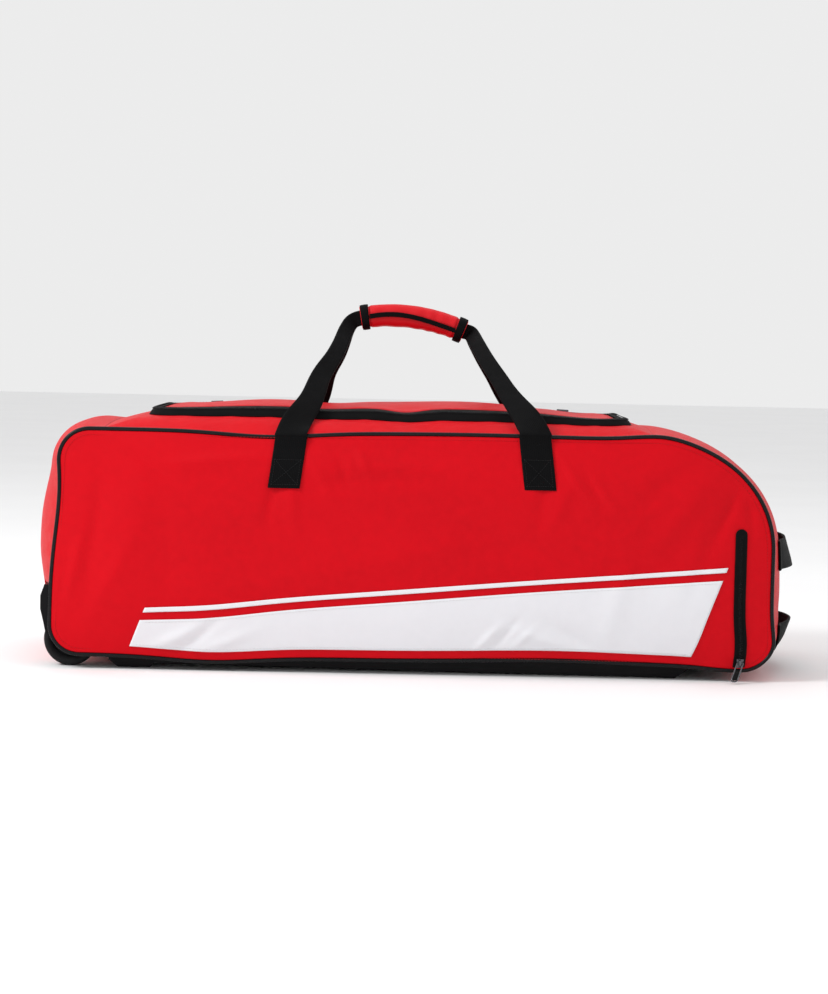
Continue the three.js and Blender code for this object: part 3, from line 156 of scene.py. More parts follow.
GRIP_LENGTH = 136.0
GRIP_OFFSET_X = -5.0
GRIP_ARCH = 10.0
GRIP_HEIGHT = 29.0
GRIP_DEPTH = 26.0
GRIP_SLOT = (22.0, 11.4)
HANDLE_RISE = 145.5
HANDLE_DROP = 15.5
GRIP_SIDES = 72
BINDING_WIDTH = 10.0
BINDING_THICKNESS = 1.2
BINDING_INSET = 0.005
FLAP_SHARES = (0.085, 0.915)
FLAP_TAPE_WIDTH = 6.4

# The flap's wavy edge: how far it waves, how fast along the grip, and how far below the middle it lies
FLAP_WAVE = (2.4, 5.4, 1.0)

# The grip's pinch at the flap's two ends, as depth and width, and the dent along its lower front
GRIP_PINCH = (1.4, 0.012)
GRIP_DENT = 1.1

# White flash and pinstripe, and the pocket zip
FLASH_X = (-352.0, 352.0)
FLASH_LEAN = 38.0
FLASH_FOOT = 13.0
FLASH_HEIGHTS = (34.0, 98.0)
FLASH_LIFT = 1.4
FLASH_CLOTH = 0.8
PINSTRIPE = (10.0, 6.0)
POCKET_ZIP_X = 412.0
POCKET_ZIP_Z = (BASE_Z + 4.5, BASE_Z + 175.5)
POCKET_TAPE_WIDTH = 15.0
POCKET_TAPE = 1.0
POCKET_SLIDER_REACH = 11.5

# The pull: wire, size over all, bends at foot and head, slant and lean, and its eye in the slider
PULL_WIRE = 2.2
PULL_WIDTH = 10.0
PULL_LENGTH = 27.0
PULL_FOOT_BEND = 3.0
PULL_HEAD_BEND = 1.2
PULL_SLANT = math.radians(20)
PULL_LEAN = math.radians(28)
PULL_EYE = (2.9, 1.1)
TONGUE_SHARES = (0.52, 0.93)
TONGUE_THICKNESS = 1.3

# Tow handles: height above the base and how far the lower edge stands further out than the upper
TOW_HANDLES = {"tow_handle_upper": (138.0, -4.0), "tow_handle_lower": (30.0, 4.0)}
TOW_HALF_SPAN = 116.0
TOW_TAB = 26.0
TOW_STAND_OFF = 13.0
TOW_WIDTH = 38.0
TOW_THICKNESS = 2.5
TOW_TAB_GAP = 0.98

# Stitches: share of the pitch or length, width and height
SEAM_STITCH = (0.72, 0.75, 0.4)
FLASH_STITCH = (0.72, 0.7, 0.35)
STRAP_STITCH = (2.1, 0.8, 0.45)
SEAM_STITCH_INSET = 8.0
HEM_STITCH_INSET = 6.5
FLASH_STITCH_INSET = 3.0
STRAP_STITCH_PITCH = 3.0
TOW_STITCH_PITCH = 2.6
TOW_STITCH_PLACES = (-0.97, -0.8, 0.8, 0.97)

# The box sewn through a strap's base: half its width, and its lower and upper edge above the foot
BOX_STITCH = (16.0, 5.0, 37.0)

# Half of a tyre's section, from its rim to the middle of its tread, as shares of the wheel's radius and
# of half its width
TYRE_SECTION = (
    (0.74, 0.86), (0.8, 0.98), (0.86, 1), (0.92, 0.97), (0.97, 0.82), (0.995, 0.6), (1, 0.32),
    (0.97, 0.28), (0.97, 0.2), (1, 0.16),
)

# Half of a hub's section: its boss as shares of the axle's radius, then its face as shares of the hub's
# own, each with its share of half the hub's width
HUB_BOSS = ((2, 1), (2.3, 0.9))
HUB_FACE = ((0.5, 0.62), (0.68, 0.6), (0.86, 0.62), (0.92, 0.78), (1, 0.7))

# Hollows between a hub's spokes: how many, how deep, and their place and width as shares of its radius
HUB_HOLLOWS = (6, 3.2, 0.68, 0.12)

# Puckers along a seam: height, step, how far the step drifts and the step of that drift. The grip's steps
# are shares of its length. The lid's puckers lie in a band, at a distance from its edge and with a width.
Pucker = namedtuple("Pucker", "height step drift drift_step")
END_PUCKER = Pucker(0.7, 9.5, 2.0, 61.0)
TOP_PUCKER = Pucker(0.6, 7.5, 1.7, 53.0)
LID_PUCKER = Pucker(0.5, 8.5, 1.8, 47.0)
LID_PUCKER_BAND = (9.0, 7.0)
GRIP_PUCKER = Pucker(0.35, 1 / 41, 2.0, 1 / 9)

# The lid's edge: its drop and the run of that, then its ridge's height, place and width
LID_EDGE = (1.2, 5.0)
LID_RIDGE = (0.5, 12.0, 5.0)

# Where the seams leave their straight runs: side, place, reach and how far out, as shares of the bag
SEAM_WAVES = (
    ("top", -0.2, 0.085, -0.021), ("top", 0.09, 0.14, 0.006), ("top", 0.335, 0.05, 0.014),
    ("base", -0.275, 0.085, -0.022), ("base", 0.2, 0.15, 0.016), ("base", 0.445, 0.045, -0.014),
    ("wheel_end", 0.75, 0.3, -0.039), ("tow_end", 0.1, 0.1, 0.014),
)

# Broad folds in the sides: place along, place up, turn in degrees, length, width and raise, as shares
SIDE_FOLDS = (
    (-0.4, 0.45, 82, 0.12, 0.1, 0.16), (-0.34, 0.4, 96, 0.12, 0.08, -0.14),
    (-0.1, 0.62, 8, 0.16, 0.09, -0.12), (0.06, 0.78, -6, 0.13, 0.08, 0.14),
    (0.1, 0.5, 20, 0.14, 0.1, -0.1), (0.29, 0.62, 58, 0.08, 0.09, 0.14),
    (0.36, 0.5, 66, 0.08, 0.08, -0.12),
)

# Small creases in the sides, in millimetres: x, height above the base, turn, length, width and raise
SIDE_CREASES = (
    (-176, 205, 80, 34, 7, -1.0), (-150, 196, 96, 30, 8, 0.9), (162, 212, 84, 36, 8, -1.0),
    (186, 200, 70, 30, 9, 0.8), (-60, 225, 4, 90, 10, -0.7), (20, 240, -3, 110, 12, 0.8),
    (300, 214, 38, 60, 12, -1.0), (336, 190, 52, 60, 12, 1.0), (372, 150, 70, 60, 11, -0.9),
    (396, 196, 66, 26, 6, -1.2), (424, 190, 98, 22, 6, -0.8), (-404, 160, 86, 60, 12, -1.0),
    (-424, 112, 80, 44, 9, 0.9), (-380, 92, 64, 60, 11, 0.8), (-300, 24, 28, 44, 8, 1.1),
    (-268, 30, 40, 38, 7, -1.1), (-236, 22, 22, 40, 8, 0.9), (168, 26, 160, 46, 8, 0.9),
    (206, 30, 150, 40, 8, -0.9), (-20, 130, 12, 130, 16, 0.7), (120, 150, -14, 120, 16, -0.7),
    (-330, 236, 150, 50, 9, -0.8), (-250, 250, 8, 60, 9, 0.8), (260, 92, 76, 70, 14, 0.8),
    (200, 235, -55, 30, 5, 1.1), (222, 228, -60, 26, 5, -0.9), (240, 214, -50, 24, 5, 0.8),
    (-60, 245, -65, 26, 6, 0.8), (-88, 238, -70, 22, 5, -0.8), (-112, 226, -60, 24, 6, 0.7),
    (95, 26, 48, 22, 5, 1.0), (118, 32, 52, 24, 5, -0.9), (140, 26, 46, 20, 5, 0.8),
)

# How the end panels swell from the top seam to the base seam: share along and share of the swell
WHEEL_END_CROWN = (
    (0, 0.14), (0.1, 0.28), (0.2, 0.64), (0.27, 0.8), (0.33, 0.93), (0.4, 1), (0.47, 0.97), (0.54, 0.9),
    (0.64, 0.64), (0.76, 0.24), (0.88, 0.05), (1, 0),
)
TOW_END_CROWN = (
    (0, 0.196), (0.15, 0.3), (0.3, 0.42), (0.45, 0.7), (0.6, 0.95), (0.7, 1), (0.8, 0.86), (0.9, 0.35),
    (1, 0),
)

# The lid's dips and humps: along, across, length, width and raise, as shares
LID_WAVES = (
    (-0.22, 0, 0.07, 1.1, 0.12), (-0.12, -0.2, 0.035, 0.9, -0.14), (0.08, 0.1, 0.09, 1.1, 0.13),
    (0.25, 0, 0.06, 1.4, -0.2), (-0.012, -1, 0.03, 0.4, -0.16),
)

# Free run of a strap: back to the middle, in and up at the wheel end, in and up at the tow end
STRAP_RUN = (
    (0, 0, 0, 0, 0), (0.11, 0.11, 0.12, 0.15, 0.16), (0.25, 0.24, 0.26, 0.3, 0.32),
    (0.41, 0.38, 0.43, 0.5, 0.51), (0.59, 0.53, 0.59, 0.68, 0.71), (0.78, 0.68, 0.76, 0.81, 0.87),
    (0.93, 0.77, 0.89, 0.87, 0.95), (1, 0.87, 0.97, 0.92, 0.99),
)


def frame_shift():
    """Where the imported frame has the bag's own origin, from the places of its two axles."""
    front = np.array(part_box("wheel_axle_front")).mean(axis=0)
    back = np.array(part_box("wheel_axle_back")).mean(axis=0)
    return np.array([front[0] - WHEEL_X / 1000, (front[1] + back[1]) / 2, 0.0])


SHIFT = frame_shift()


def to_frame(points):
    """Millimetres in the bag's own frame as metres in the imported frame."""
    return np.asarray(points, dtype=float) / 1000 + SHIFT


def node_box(name):
    """The lowest and highest corner of a node of the frame, in millimetres in the bag's own frame."""
    return (np.array(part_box(name)) - SHIFT) * 1000


# Shape of the bag


def bell(t):
    """1 at 0, falling smoothly to nothing on both sides."""
    return np.exp(-t * t)


def smooth(start, end, value):
    """Eases from 0 at start to 1 at end, which may be the lower of the two."""
    t = np.clip((value - start) / (end - start), 0, 1)
    return t * t * (3 - 2 * t)


def puckered(reach, pucker):
    """Height of the puckers at a distance along a seam: a sine whose step drifts with a slower sine."""
    drift = pucker.drift * np.sin(reach / pucker.drift_step)
    return pucker.height * np.sin(reach / pucker.step + drift)


def run_length(points):
    """Distance along a line to each of its points."""
    return np.concatenate([[0], np.cumsum(np.linalg.norm(np.diff(points, axis=0), axis=1))])


def sag(x, z):
    """Moves points of the true outline to where the soft bag has them: each wave is a bell along its side
    that fades out towards the bag's middle."""
    u = x / BAG_LENGTH
    w = (z - BASE_Z) / BAG_HEIGHT
    dx = np.zeros_like(u)
    dz = np.zeros_like(w)
    for side, at, reach, out in SEAM_WAVES:
        lift = out * BAG_HEIGHT
        if side == "top":
            dz = dz + lift * bell((u - at) / reach) * smooth(0.5, 1, w)
        elif side == "base":
            dz = dz + lift * bell((u - at) / reach) * smooth(0.5, 0, w)
        elif side == "wheel_end":
            dx = dx - lift * bell((w - at) / reach) * smooth(-0.25, -0.5, u)
        else:
            dx = dx + lift * bell((w - at) / reach) * smooth(0.3, 0.5, u)
    return x + dx, z + dz


def corner_points(name, inset=0.0, start=0.0, end=1.0, steps=40):
    """Part of a corner's quarter ellipse, drawn inset from the seam line."""
    x, z, rx, rz, angle = CORNERS[name]
    turn = angle + (math.pi / 2) * np.linspace(start, end, steps + 1)
    return np.stack([x + (rx - inset) * np.cos(turn), z + (rz - inset) * np.sin(turn)], axis=1)


def spaced(points, count, bend_length=60.0):
    """Points at equal steps of length plus bend_length times the turn in radians, so that they lie closer
    together where the line bends."""
    step = np.diff(points, axis=0)
    run = np.hypot(step[:, 0], step[:, 1])
    keep = np.concatenate([[True], run > 1e-6])
    points = points[keep]
    step = np.diff(points, axis=0)
    heading = np.unwrap(np.arctan2(step[:, 1], step[:, 0]))
    turn = np.concatenate([[0.0], np.abs(np.diff(heading))])
    reach = np.concatenate([[0.0], np.cumsum(np.hypot(step[:, 0], step[:, 1]) + bend_length * turn)])
    goal = np.linspace(0, reach[-1], count + 1)
    return np.stack([np.interp(goal, reach, points[:, k]) for k in (0, 1)], axis=1)


def side_swell(x, z):
    """How far a side stands proud of its seams: an ease in from each of its four edges, times one plus
    its broad folds, plus the small creases."""
    def ease(q):
        return 1 - (1 - np.clip(q, 0, 1)) ** 2
    cx, cz, rx, rz, _ = CORNERS["shoulder"]
    ceiling = cz + rz * np.sqrt(1 - np.clip((x - cx) / rx, 0, 1) ** 2)
    fullness = (ease((x + HALF_LENGTH) / SWELL_RUN_X) * ease((HALF_LENGTH - x) / SWELL_RUN_X)
                * ease((z - BASE_Z) / SWELL_RUN_Z) * ease((ceiling - z) / SWELL_RUN_Z))
    folds = 0.0
    for at, up, turn, long, wide, height in SIDE_FOLDS:
        folds = folds + height * fold_bell(
            x - at * BAG_LENGTH, z - BASE_Z - up * BAG_HEIGHT, turn, long * BAG_LENGTH, wide * BAG_HEIGHT)
    depth = bpy.context.scene.kit_bag_cloth.crease_depth * 1000
    rim = smooth(0, CREASE_RIM, np.minimum(np.minimum(x + HALF_LENGTH, HALF_LENGTH - x),
                                           np.minimum(z - BASE_Z, ceiling - z)))
    creases = 0.0
    for at, up, turn, long, wide, height in SIDE_CREASES:
        creases = creases + height * fold_bell(x - at, z - BASE_Z - up, turn, long, wide)
    return SIDE_SWELL * fullness * (1 + folds) + depth * rim * creases


def fold_bell(dx, dz, turn, long, wide):
    """A bell that is long in one direction and narrow across it."""
    angle = math.radians(turn)
    along = dx * math.cos(angle) + dz * math.sin(angle)
    across = dz * math.cos(angle) - dx * math.sin(angle)
    return bell(along / long) * bell(across / wide)


def side_point(side, x, z, lift=0.0):
    """Point on the outer face of a side, -1 at the front and 1 at the back, lifted off it."""
    sx, sz = sag(x, z)
    return np.stack([sx, side * (FACE_Y + side_swell(x, z) + lift), sz], axis=-1)


def lid_wave(x, y):
    """How far the lid's dips and humps raise it."""
    wave = 0.0
    for at, across, long, wide, height in LID_WAVES:
        wave = wave + height * (bell((x - at * BAG_LENGTH) / (long * BAG_LENGTH))
                                * bell((y - across * LID_HALF_DEPTH) / (wide * LID_HALF_DEPTH)))
    return wave * LID_EDGE_RISE


def lid_height(x, y):
    """Height of the lid: lower towards both ends, with a crown along the middle and its own waves."""
    u = (x - LID_MIDDLE_X) / ((LID_X[1] - LID_X[0]) / 2)
    v = y / LID_HALF_DEPTH
    crown = LID_CROWN * np.maximum(0, (1 - u * u) * (1 - v * v))
    return TOP_Z + LID_EDGE_RISE - LID_END_FALL * u * u + crown + lid_wave(x, y)


def zip_foot_height(x, y):
    """Height of the zip's foot, which follows part of the lid's waves."""
    return TOP_Z + ZIP_FOOT_RISE + ZIP_FOOT_WAVE * lid_wave(x, y)


def lid_loop(count):
    """The lid's edge and the zip's foot: a rectangle with rounded corners, from the wheel end's middle
    along the front, the tow end and the back, and the same line set out by the zip's width."""
    x0, x1 = LID_X[0] + ZIP_WIDTH, LID_X[1] - ZIP_WIDTH
    r = LID_CORNER
    parts = [np.array([[x0, 0.0]])]
    for cx, cy, start in ((x0 + r, -LID_HALF_DEPTH + r, 2), (x1 - r, -LID_HALF_DEPTH + r, 3),
                          (x1 - r, LID_HALF_DEPTH - r, 0), (x0 + r, LID_HALF_DEPTH - r, 1)):
        turn = (start + np.linspace(0, 1, 25)) * math.pi / 2
        parts.append(np.stack([cx + r * np.cos(turn), cy + r * np.sin(turn)], axis=1))
    parts.append(np.array([[x0, 0.0]]))
    edge = spaced(np.concatenate(parts), count)[:-1]
    centre = foot_centre(edge)
    away = edge - centre
    foot = centre + away * (FOOT_CORNER / np.linalg.norm(away, axis=1))[:, None]
    return edge, foot


def foot_centre(points):
    """Nearest point to each of the points in the rectangle that the foot line's corners turn about."""
    low = np.array([LID_X[0] + FOOT_CORNER, -FOOT_HALF + FOOT_CORNER])
    high = np.array([LID_X[1] - FOOT_CORNER, FOOT_HALF - FOOT_CORNER])
    return np.clip(points, low, high)


def zip_roll(count):
    """How far each station of the zip bulges: fully, less near the two sliders at its ends."""
    place = np.linspace(0, 1, count)
    return smooth(0.03, 0.1, place) * smooth(0.97, 0.9, place)


def rolled(grid, edge, foot, shares, roll):
    """Lifts a grid on the zip's slope, and pushes it out, by half a sine of the share of the way up."""
    out = unit(foot - edge)
    bulge = roll[:, None] * np.sin(math.pi * np.asarray(shares))[None, :]
    grid = grid.copy()
    grid[..., :2] += ZIP_ROLL[1] * bulge[..., None] * out[:, None]
    grid[..., 2] += ZIP_ROLL[0] * bulge
    return grid


def slope_points(edge, foot, shares, lift=0.0):
    """The zip's slope between foot and edge, at shares of the way up, lifted straight up."""
    low = np.concatenate([foot, zip_foot_height(foot[:, 0], foot[:, 1])[:, None]], axis=1)
    high = np.concatenate([edge, lid_height(edge[:, 0], edge[:, 1])[:, None]], axis=1)
    t = np.asarray(shares)[None, :, None]
    return low[:, None] * (1 - t) + high[:, None] * t + np.array([0, 0, lift])


def grip_middle(t):
    """Middle line of the grip: a straight fall from its wheel end to its tow end plus a parabola."""
    t = np.asarray(t, dtype=float)
    x = GRIP_OFFSET_X + GRIP_LENGTH * (t - 0.5)
    z = TOP_Z + HANDLE_RISE - HANDLE_DROP * t + GRIP_ARCH * (1 - (2 * t - 1) ** 2)
    return np.stack([x, np.zeros_like(x), z], axis=-1)


def end_run(name, count):
    """An end panel's outline from seam to seam: places, outward directions and shares of its length."""
    if name == "wheel_end":
        line = np.concatenate([
            [[TOP_SEAM_WHEEL_END_X, TOP_Z]], corner_points("wheel_end_top"),
            corner_points("wheel_end_low"), [[BASE_SEAM_WHEEL_END_X, BASE_Z]]])
    else:
        line = np.concatenate([
            [[BASE_SEAM_TOW_END_X, BASE_Z]], corner_points("tow_end_low"),
            corner_points("shoulder"), [[TOP_SEAM_TOW_END_X, TOP_Z]]])
    line = spaced(line, count)
    x, z = sag(line[:, 0], line[:, 1])
    step = np.gradient(np.stack([x, z], axis=1), axis=0)
    step /= np.linalg.norm(step, axis=1)[:, None]
    reach = np.concatenate([[0], np.cumsum(np.hypot(np.diff(x), np.diff(z)))])
    return x, z, np.stack([step[:, 1], -step[:, 0]], axis=1), reach / reach[-1]


def end_surface(name, count, across):
    """Outer face of an end panel: the outline pushed outwards by the crown's share at each station,
    averaged over its neighbours, times a parabola across the bag, with puckers beside the piping."""
    x, z, out, share = end_run(name, count)
    if name == "wheel_end":
        table, swell, at = WHEEL_END_CROWN, WHEEL_END_SWELL, share
    else:
        table, swell, at = TOW_END_CROWN, TOW_END_SWELL, 1 - share
    rows = np.array(table)
    crown = swell * np.interp(at, rows[:, 0], rows[:, 1])
    blur = np.ones(CROWN_BLUR) / CROWN_BLUR
    crown = np.convolve(np.pad(crown, CROWN_BLUR // 2, mode="edge"), blur, mode="valid")
    v = np.asarray(across) / GUSSET_HALF
    push = crown[:, None] * (1 - v * v)[None, :] + CLOTH / 2
    beside_piping = smooth(0.8, 0.95, np.abs(v)) * smooth(1.0, 0.97, np.abs(v))
    push = push + puckered(share * END_RUN, END_PUCKER)[:, None] * beside_piping[None, :]
    points = np.empty(push.shape + (3,))
    points[..., 0] = x[:, None] + push * out[:, :1]
    points[..., 1] = np.asarray(across)[None, :]
    points[..., 2] = z[:, None] + push * out[:, 1:]
    return points


# Meshes


def cumulative(points, axis, closed):
    """Mean distance along one axis of a grid, in metres, with the closing step if it is a loop."""
    grid = points if not closed else np.concatenate([points, np.take(points, [0], axis=axis)], axis=axis)
    run = np.linalg.norm(np.diff(grid, axis=axis), axis=-1).mean(axis=1 - axis) / 1000
    return np.concatenate([[0.0], np.cumsum(run)])


def surface(name, points, ring=False, tube=False, capped=False, keep=None, away=None):
    """A mesh on a grid of points in millimetres. ring closes it along its first axis and tube along its
    second, capped closes the two ends of a tube, keep says which faces stay, and the faces look away from
    the point away, or outwards where it is a tube."""
    rows, cols = points.shape[:2]
    i = np.arange(rows if ring else rows - 1)
    j = np.arange(cols if tube else cols - 1)
    ii, jj = np.meshgrid(i, j, indexing="ij")
    if keep is not None:
        ii, jj = ii[keep], jj[keep]
    ii, jj = ii.ravel(), jj.ravel()
    a = ii * cols + jj
    b = ((ii + 1) % rows) * cols + jj
    c = ((ii + 1) % rows) * cols + (jj + 1) % cols
    d = ii * cols + (jj + 1) % cols
    quads = np.stack([a, b, c, d], axis=1)
    u = cumulative(points, 0, ring)
    v = cumulative(points, 1, tube)
    uv = np.stack([
        np.stack([u[ii], v[jj]], axis=1), np.stack([u[ii + 1], v[jj]], axis=1),
        np.stack([u[ii + 1], v[jj + 1]], axis=1), np.stack([u[ii], v[jj + 1]], axis=1)], axis=1)
    flat = points.reshape(-1, 3)
    if away is None:
        middle = points.mean(axis=1, keepdims=True) if tube else points.mean(axis=(0, 1), keepdims=True)
        centre = np.broadcast_to(middle, points.shape).reshape(-1, 3)[quads[:, 0]]
    else:
        centre = np.asarray(away, dtype=float)[None, :]
    normal = np.cross(flat[quads[:, 2]] - flat[quads[:, 0]], flat[quads[:, 3]] - flat[quads[:, 1]])
    turned = (normal * (flat[quads].mean(axis=1) - centre)).sum() < 0
    if turned:
        quads, uv = quads[:, ::-1], uv[:, ::-1]
    faces = quads.tolist()
    loops = uv.reshape(-1, 2)
    if capped:
        first = list(range(cols))
        last = [(rows - 1) * cols + k for k in range(cols)]
        faces += [first if turned else first[::-1], last[::-1] if turned else last]
        loops = np.concatenate([loops, np.zeros((2 * cols, 2))])
    return mesh_object(name, to_frame(flat), faces, loops)


def mesh_object(name, points, faces, loops=None):
    """A smooth-shaded object at the origin whose mesh has these points and faces, less unused points."""
    mesh = bpy.data.meshes.new(name)
    mesh.from_pydata(points.tolist(), [], faces)
    if loops is not None:
        layer = mesh.uv_layers.new(name="UVMap")
        layer.data.foreach_set("uv", np.ascontiguousarray(loops, dtype=np.float32).ravel())
    mesh.polygons.foreach_set("use_smooth", np.ones(len(mesh.polygons), dtype=bool))
    shape = bmesh.new()
    shape.from_mesh(mesh)
    bmesh.ops.delete(shape, geom=[v for v in shape.verts if not v.link_faces], context="VERTS")
    shape.to_mesh(mesh)
    shape.free()
    obj = bpy.data.objects.new(name, mesh)
    bpy.context.scene.collection.objects.link(obj)
    return obj


def thicken(obj, millimetres):
    """Gives a sheet its wall, inwards from the face it shows."""
    wall = obj.modifiers.new("wall", "SOLIDIFY")
    wall.thickness = millimetres / 1000
    wall.offset = -1
    wall.use_rim = True
    return obj


def dress(obj, material, body="bag", nodes=()):
    """Finishes a piece: its material, its body and the frame's nodes that it stands for."""
    obj.data.materials.append(material)
    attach(obj, body)
    if nodes:
        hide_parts(*nodes)
    return obj


def resampled(points, pitch):
    """Points at equal distances of about pitch along a line."""
    points = np.asarray(points, dtype=float)
    reach = run_length(points)
    goal = np.linspace(0, reach[-1], max(2, int(round(reach[-1] / pitch)) + 1))
    return np.stack([np.interp(goal, reach, points[:, k]) for k in range(3)], axis=1)


def unit(vectors):
    """Vectors along the last axis, each made one long."""
    return vectors / np.maximum(np.linalg.norm(vectors, axis=-1, keepdims=True), 1e-9)


def dashes(name, centres, along, normals, length, width, height):
    """Small stitches or zip teeth: three diamond-shaped sections each, the end ones about half as big,
    set along the direction along and raised along the normal."""
    centres = np.asarray(centres, dtype=float)
    count = len(centres)
    along = unit(np.broadcast_to(along, (count, 3)))
    normals = unit(np.broadcast_to(normals, (count, 3)))
    across = unit(np.cross(normals, along))
    normals = np.cross(along, across)
    places = np.array([-0.5, 0.0, 0.5]) * length
    grow = np.array([0.55, 1.0, 0.55])
    section = np.array([[0.5 * width, 0], [0, height], [-0.5 * width, 0], [0, -0.3 * height]])
    points = (centres[:, None, None] + along[:, None, None] * places[None, :, None, None]
              + across[:, None, None] * (grow[:, None] * section[None, :, 0])[None, :, :, None]
              + normals[:, None, None] * (grow[:, None] * section[None, :, 1])[None, :, :, None])
    quads = [[s * 4 + c, s * 4 + (c + 1) % 4, (s + 1) * 4 + (c + 1) % 4, (s + 1) * 4 + c]
             for s in (0, 1) for c in range(4)] + [[3, 2, 1, 0], [8, 9, 10, 11]]
    quads = np.array(quads)
    one = points[0].reshape(-1, 3)
    face = one[quads[0]]
    if np.cross(face[2] - face[0], face[3] - face[1]) @ (face.mean(axis=0) - one.mean(axis=0)) < 0:
        quads = quads[:, ::-1]
    faces = (quads[None] + 12 * np.arange(count)[:, None, None]).reshape(-1, 4)
    return mesh_object(name, to_frame(points.reshape(-1, 3)), faces.tolist())


def stitch_run(points, normal_to, pitch, closed=False):
    """Stitch places along a line: centres, directions and the directions they stand out in."""
    if closed:
        points = np.concatenate([points, points[:1]])
    places = resampled(points, pitch)
    along = np.gradient(places, axis=0)
    return places, along, np.broadcast_to(normal_to, places.shape)


def joined(runs):
    """Several runs of stitches as one."""
    return [np.concatenate(part) for part in zip(*runs)]


# Materials

# The weave's raise where threads cross and how its gaps narrow, where painted shade darkens the
# cloth, and the wear's scales and the relief's strength in cloth and in moulded parts
CROSSING_HEIGHT = 0.35
GAP_POWER = 0.5
CLOTH_WEAR = (7.0, 90.0)
CLOTH_RELIEF = 0.5
WEAR_SHARE = 1.4
MOULDED_WEAR = 14.0
MOULDED_RELIEF = 0.4


def node(tree, kind, place, **values):
    """A new node at a place in its tree, with some of its settings."""
    made = tree.nodes.new(kind)
    made.location = place
    for key, value in values.items():
        setattr(made, key, value)
    return made


def math_node(tree, operation, place, first, second=None):
    """The output of a new math node whose inputs are sockets or numbers."""
    made = node(tree, "ShaderNodeMath", place, operation=operation)
    for k, value in enumerate((first, second)):
        if value is None:
            continue
        if isinstance(value, (int, float)):
            made.inputs[k].default_value = value
        else:
            tree.links.new(value, made.inputs[k])
    return made.outputs[0]


def group_tree(name, inputs, outputs):
    """A new node group whose first input is a vector and whose other sockets are numbers, with the nodes
    at its start and end."""
    tree = bpy.data.node_groups.new(name, "ShaderNodeTree")
    tree.interface.new_socket(name="Vector", in_out="INPUT", socket_type="NodeSocketVector")
    for way, labels in (("INPUT", inputs), ("OUTPUT", outputs)):
        for label in labels:
            tree.interface.new_socket(name=label, in_out=way, socket_type="NodeSocketFloat")
    return tree, node(tree, "NodeGroupInput", (-900, 0)), node(tree, "NodeGroupOutput", (600, 0))


def weave_group():
    """Plain weave from a piece's own UV in metres: two sets of rounded threads that pass over and under
    each other. It puts out the height of the threads and a mask of the gaps between them, where the
    cloth's colour carries painted shade."""
    if "plain_weave" in bpy.data.node_groups:
        return bpy.data.node_groups["plain_weave"]
    tree, start, end = group_tree("plain_weave", ["Threads per metre"], ["Height", "Gap shade"])
    scaled = node(tree, "ShaderNodeVectorMath", (-700, 0), operation="SCALE")
    tree.links.new(start.outputs["Vector"], scaled.inputs[0])
    tree.links.new(start.outputs["Threads per metre"], scaled.inputs["Scale"])
    split = node(tree, "ShaderNodeSeparateXYZ", (-520, 0))
    tree.links.new(scaled.outputs[0], split.inputs[0])

    def threads(axis, up):
        turn = math_node(tree, "MULTIPLY", (-430, up), split.outputs[axis], math.pi)
        return math_node(tree, "SINE", (-340, up), turn)

    warp, weft = threads(0, 120), threads(1, -120)
    over = math_node(tree, "MULTIPLY", (-120, 0), warp, weft)
    warp_round = math_node(tree, "ABSOLUTE", (-160, 160), warp)
    weft_round = math_node(tree, "ABSOLUTE", (-160, -160), weft)
    body = math_node(tree, "MULTIPLY", (40, 100), warp_round, weft_round)
    lifted = math_node(tree, "MULTIPLY", (40, -60), over, CROSSING_HEIGHT)
    height = math_node(tree, "ADD", (220, 0), body, lifted)
    # The mask of the gaps between threads, which the cloth's colour turns darker by as painted shade
    filled = math_node(tree, "POWER", (120, -160), body, GAP_POWER)
    gaps = math_node(tree, "SUBTRACT", (220, -160), 1.0, filled)
    tree.links.new(height, end.inputs["Height"])
    tree.links.new(gaps, end.inputs["Gap shade"])
    return tree


def wear_group():
    """Soft patches of wear and dust: a mask that is broad noise times fine noise, and the fine noise
    alone as grain."""
    if "soft_wear" in bpy.data.node_groups:
        return bpy.data.node_groups["soft_wear"]
    tree, start, end = group_tree("soft_wear", ["Broad scale", "Fine scale"], ["Mask", "Grain"])
    broad = node(tree, "ShaderNodeTexNoise", (-380, 120))
    fine = node(tree, "ShaderNodeTexNoise", (-380, -140))
    broad.inputs["Detail"].default_value = 3
    fine.inputs["Detail"].default_value = 5
    for noise, scale in ((broad, "Broad scale"), (fine, "Fine scale")):
        tree.links.new(start.outputs["Vector"], noise.inputs["Vector"])
        tree.links.new(start.outputs[scale], noise.inputs["Scale"])
    mask = math_node(tree, "MULTIPLY", (100, 60), broad.outputs["Fac"], fine.outputs["Fac"])
    tree.links.new(mask, end.inputs["Mask"])
    tree.links.new(fine.outputs["Fac"], end.inputs["Grain"])
    return tree


def new_material(name):
    """A new material, its tree and its shader."""
    material = bpy.data.materials.new(name)
    material.use_nodes = True
    tree = material.node_tree
    return material, tree, tree.nodes["Principled BSDF"]


def group_node(tree, group, place):
    """A node that runs a group."""
    made = node(tree, "ShaderNodeGroup", place)
    made.node_tree = group
    return made


def wear_node(tree, broad, fine):
    """The wear group on object coordinates, at two scales of noise."""
    place = node(tree, "ShaderNodeTexCoord", (-1300, -300))
    wear = group_node(tree, wear_group(), (-1050, -300))
    wear.inputs["Broad scale"].default_value = broad
    wear.inputs["Fine scale"].default_value = fine
    tree.links.new(place.outputs["Object"], wear.inputs["Vector"])
    return wear


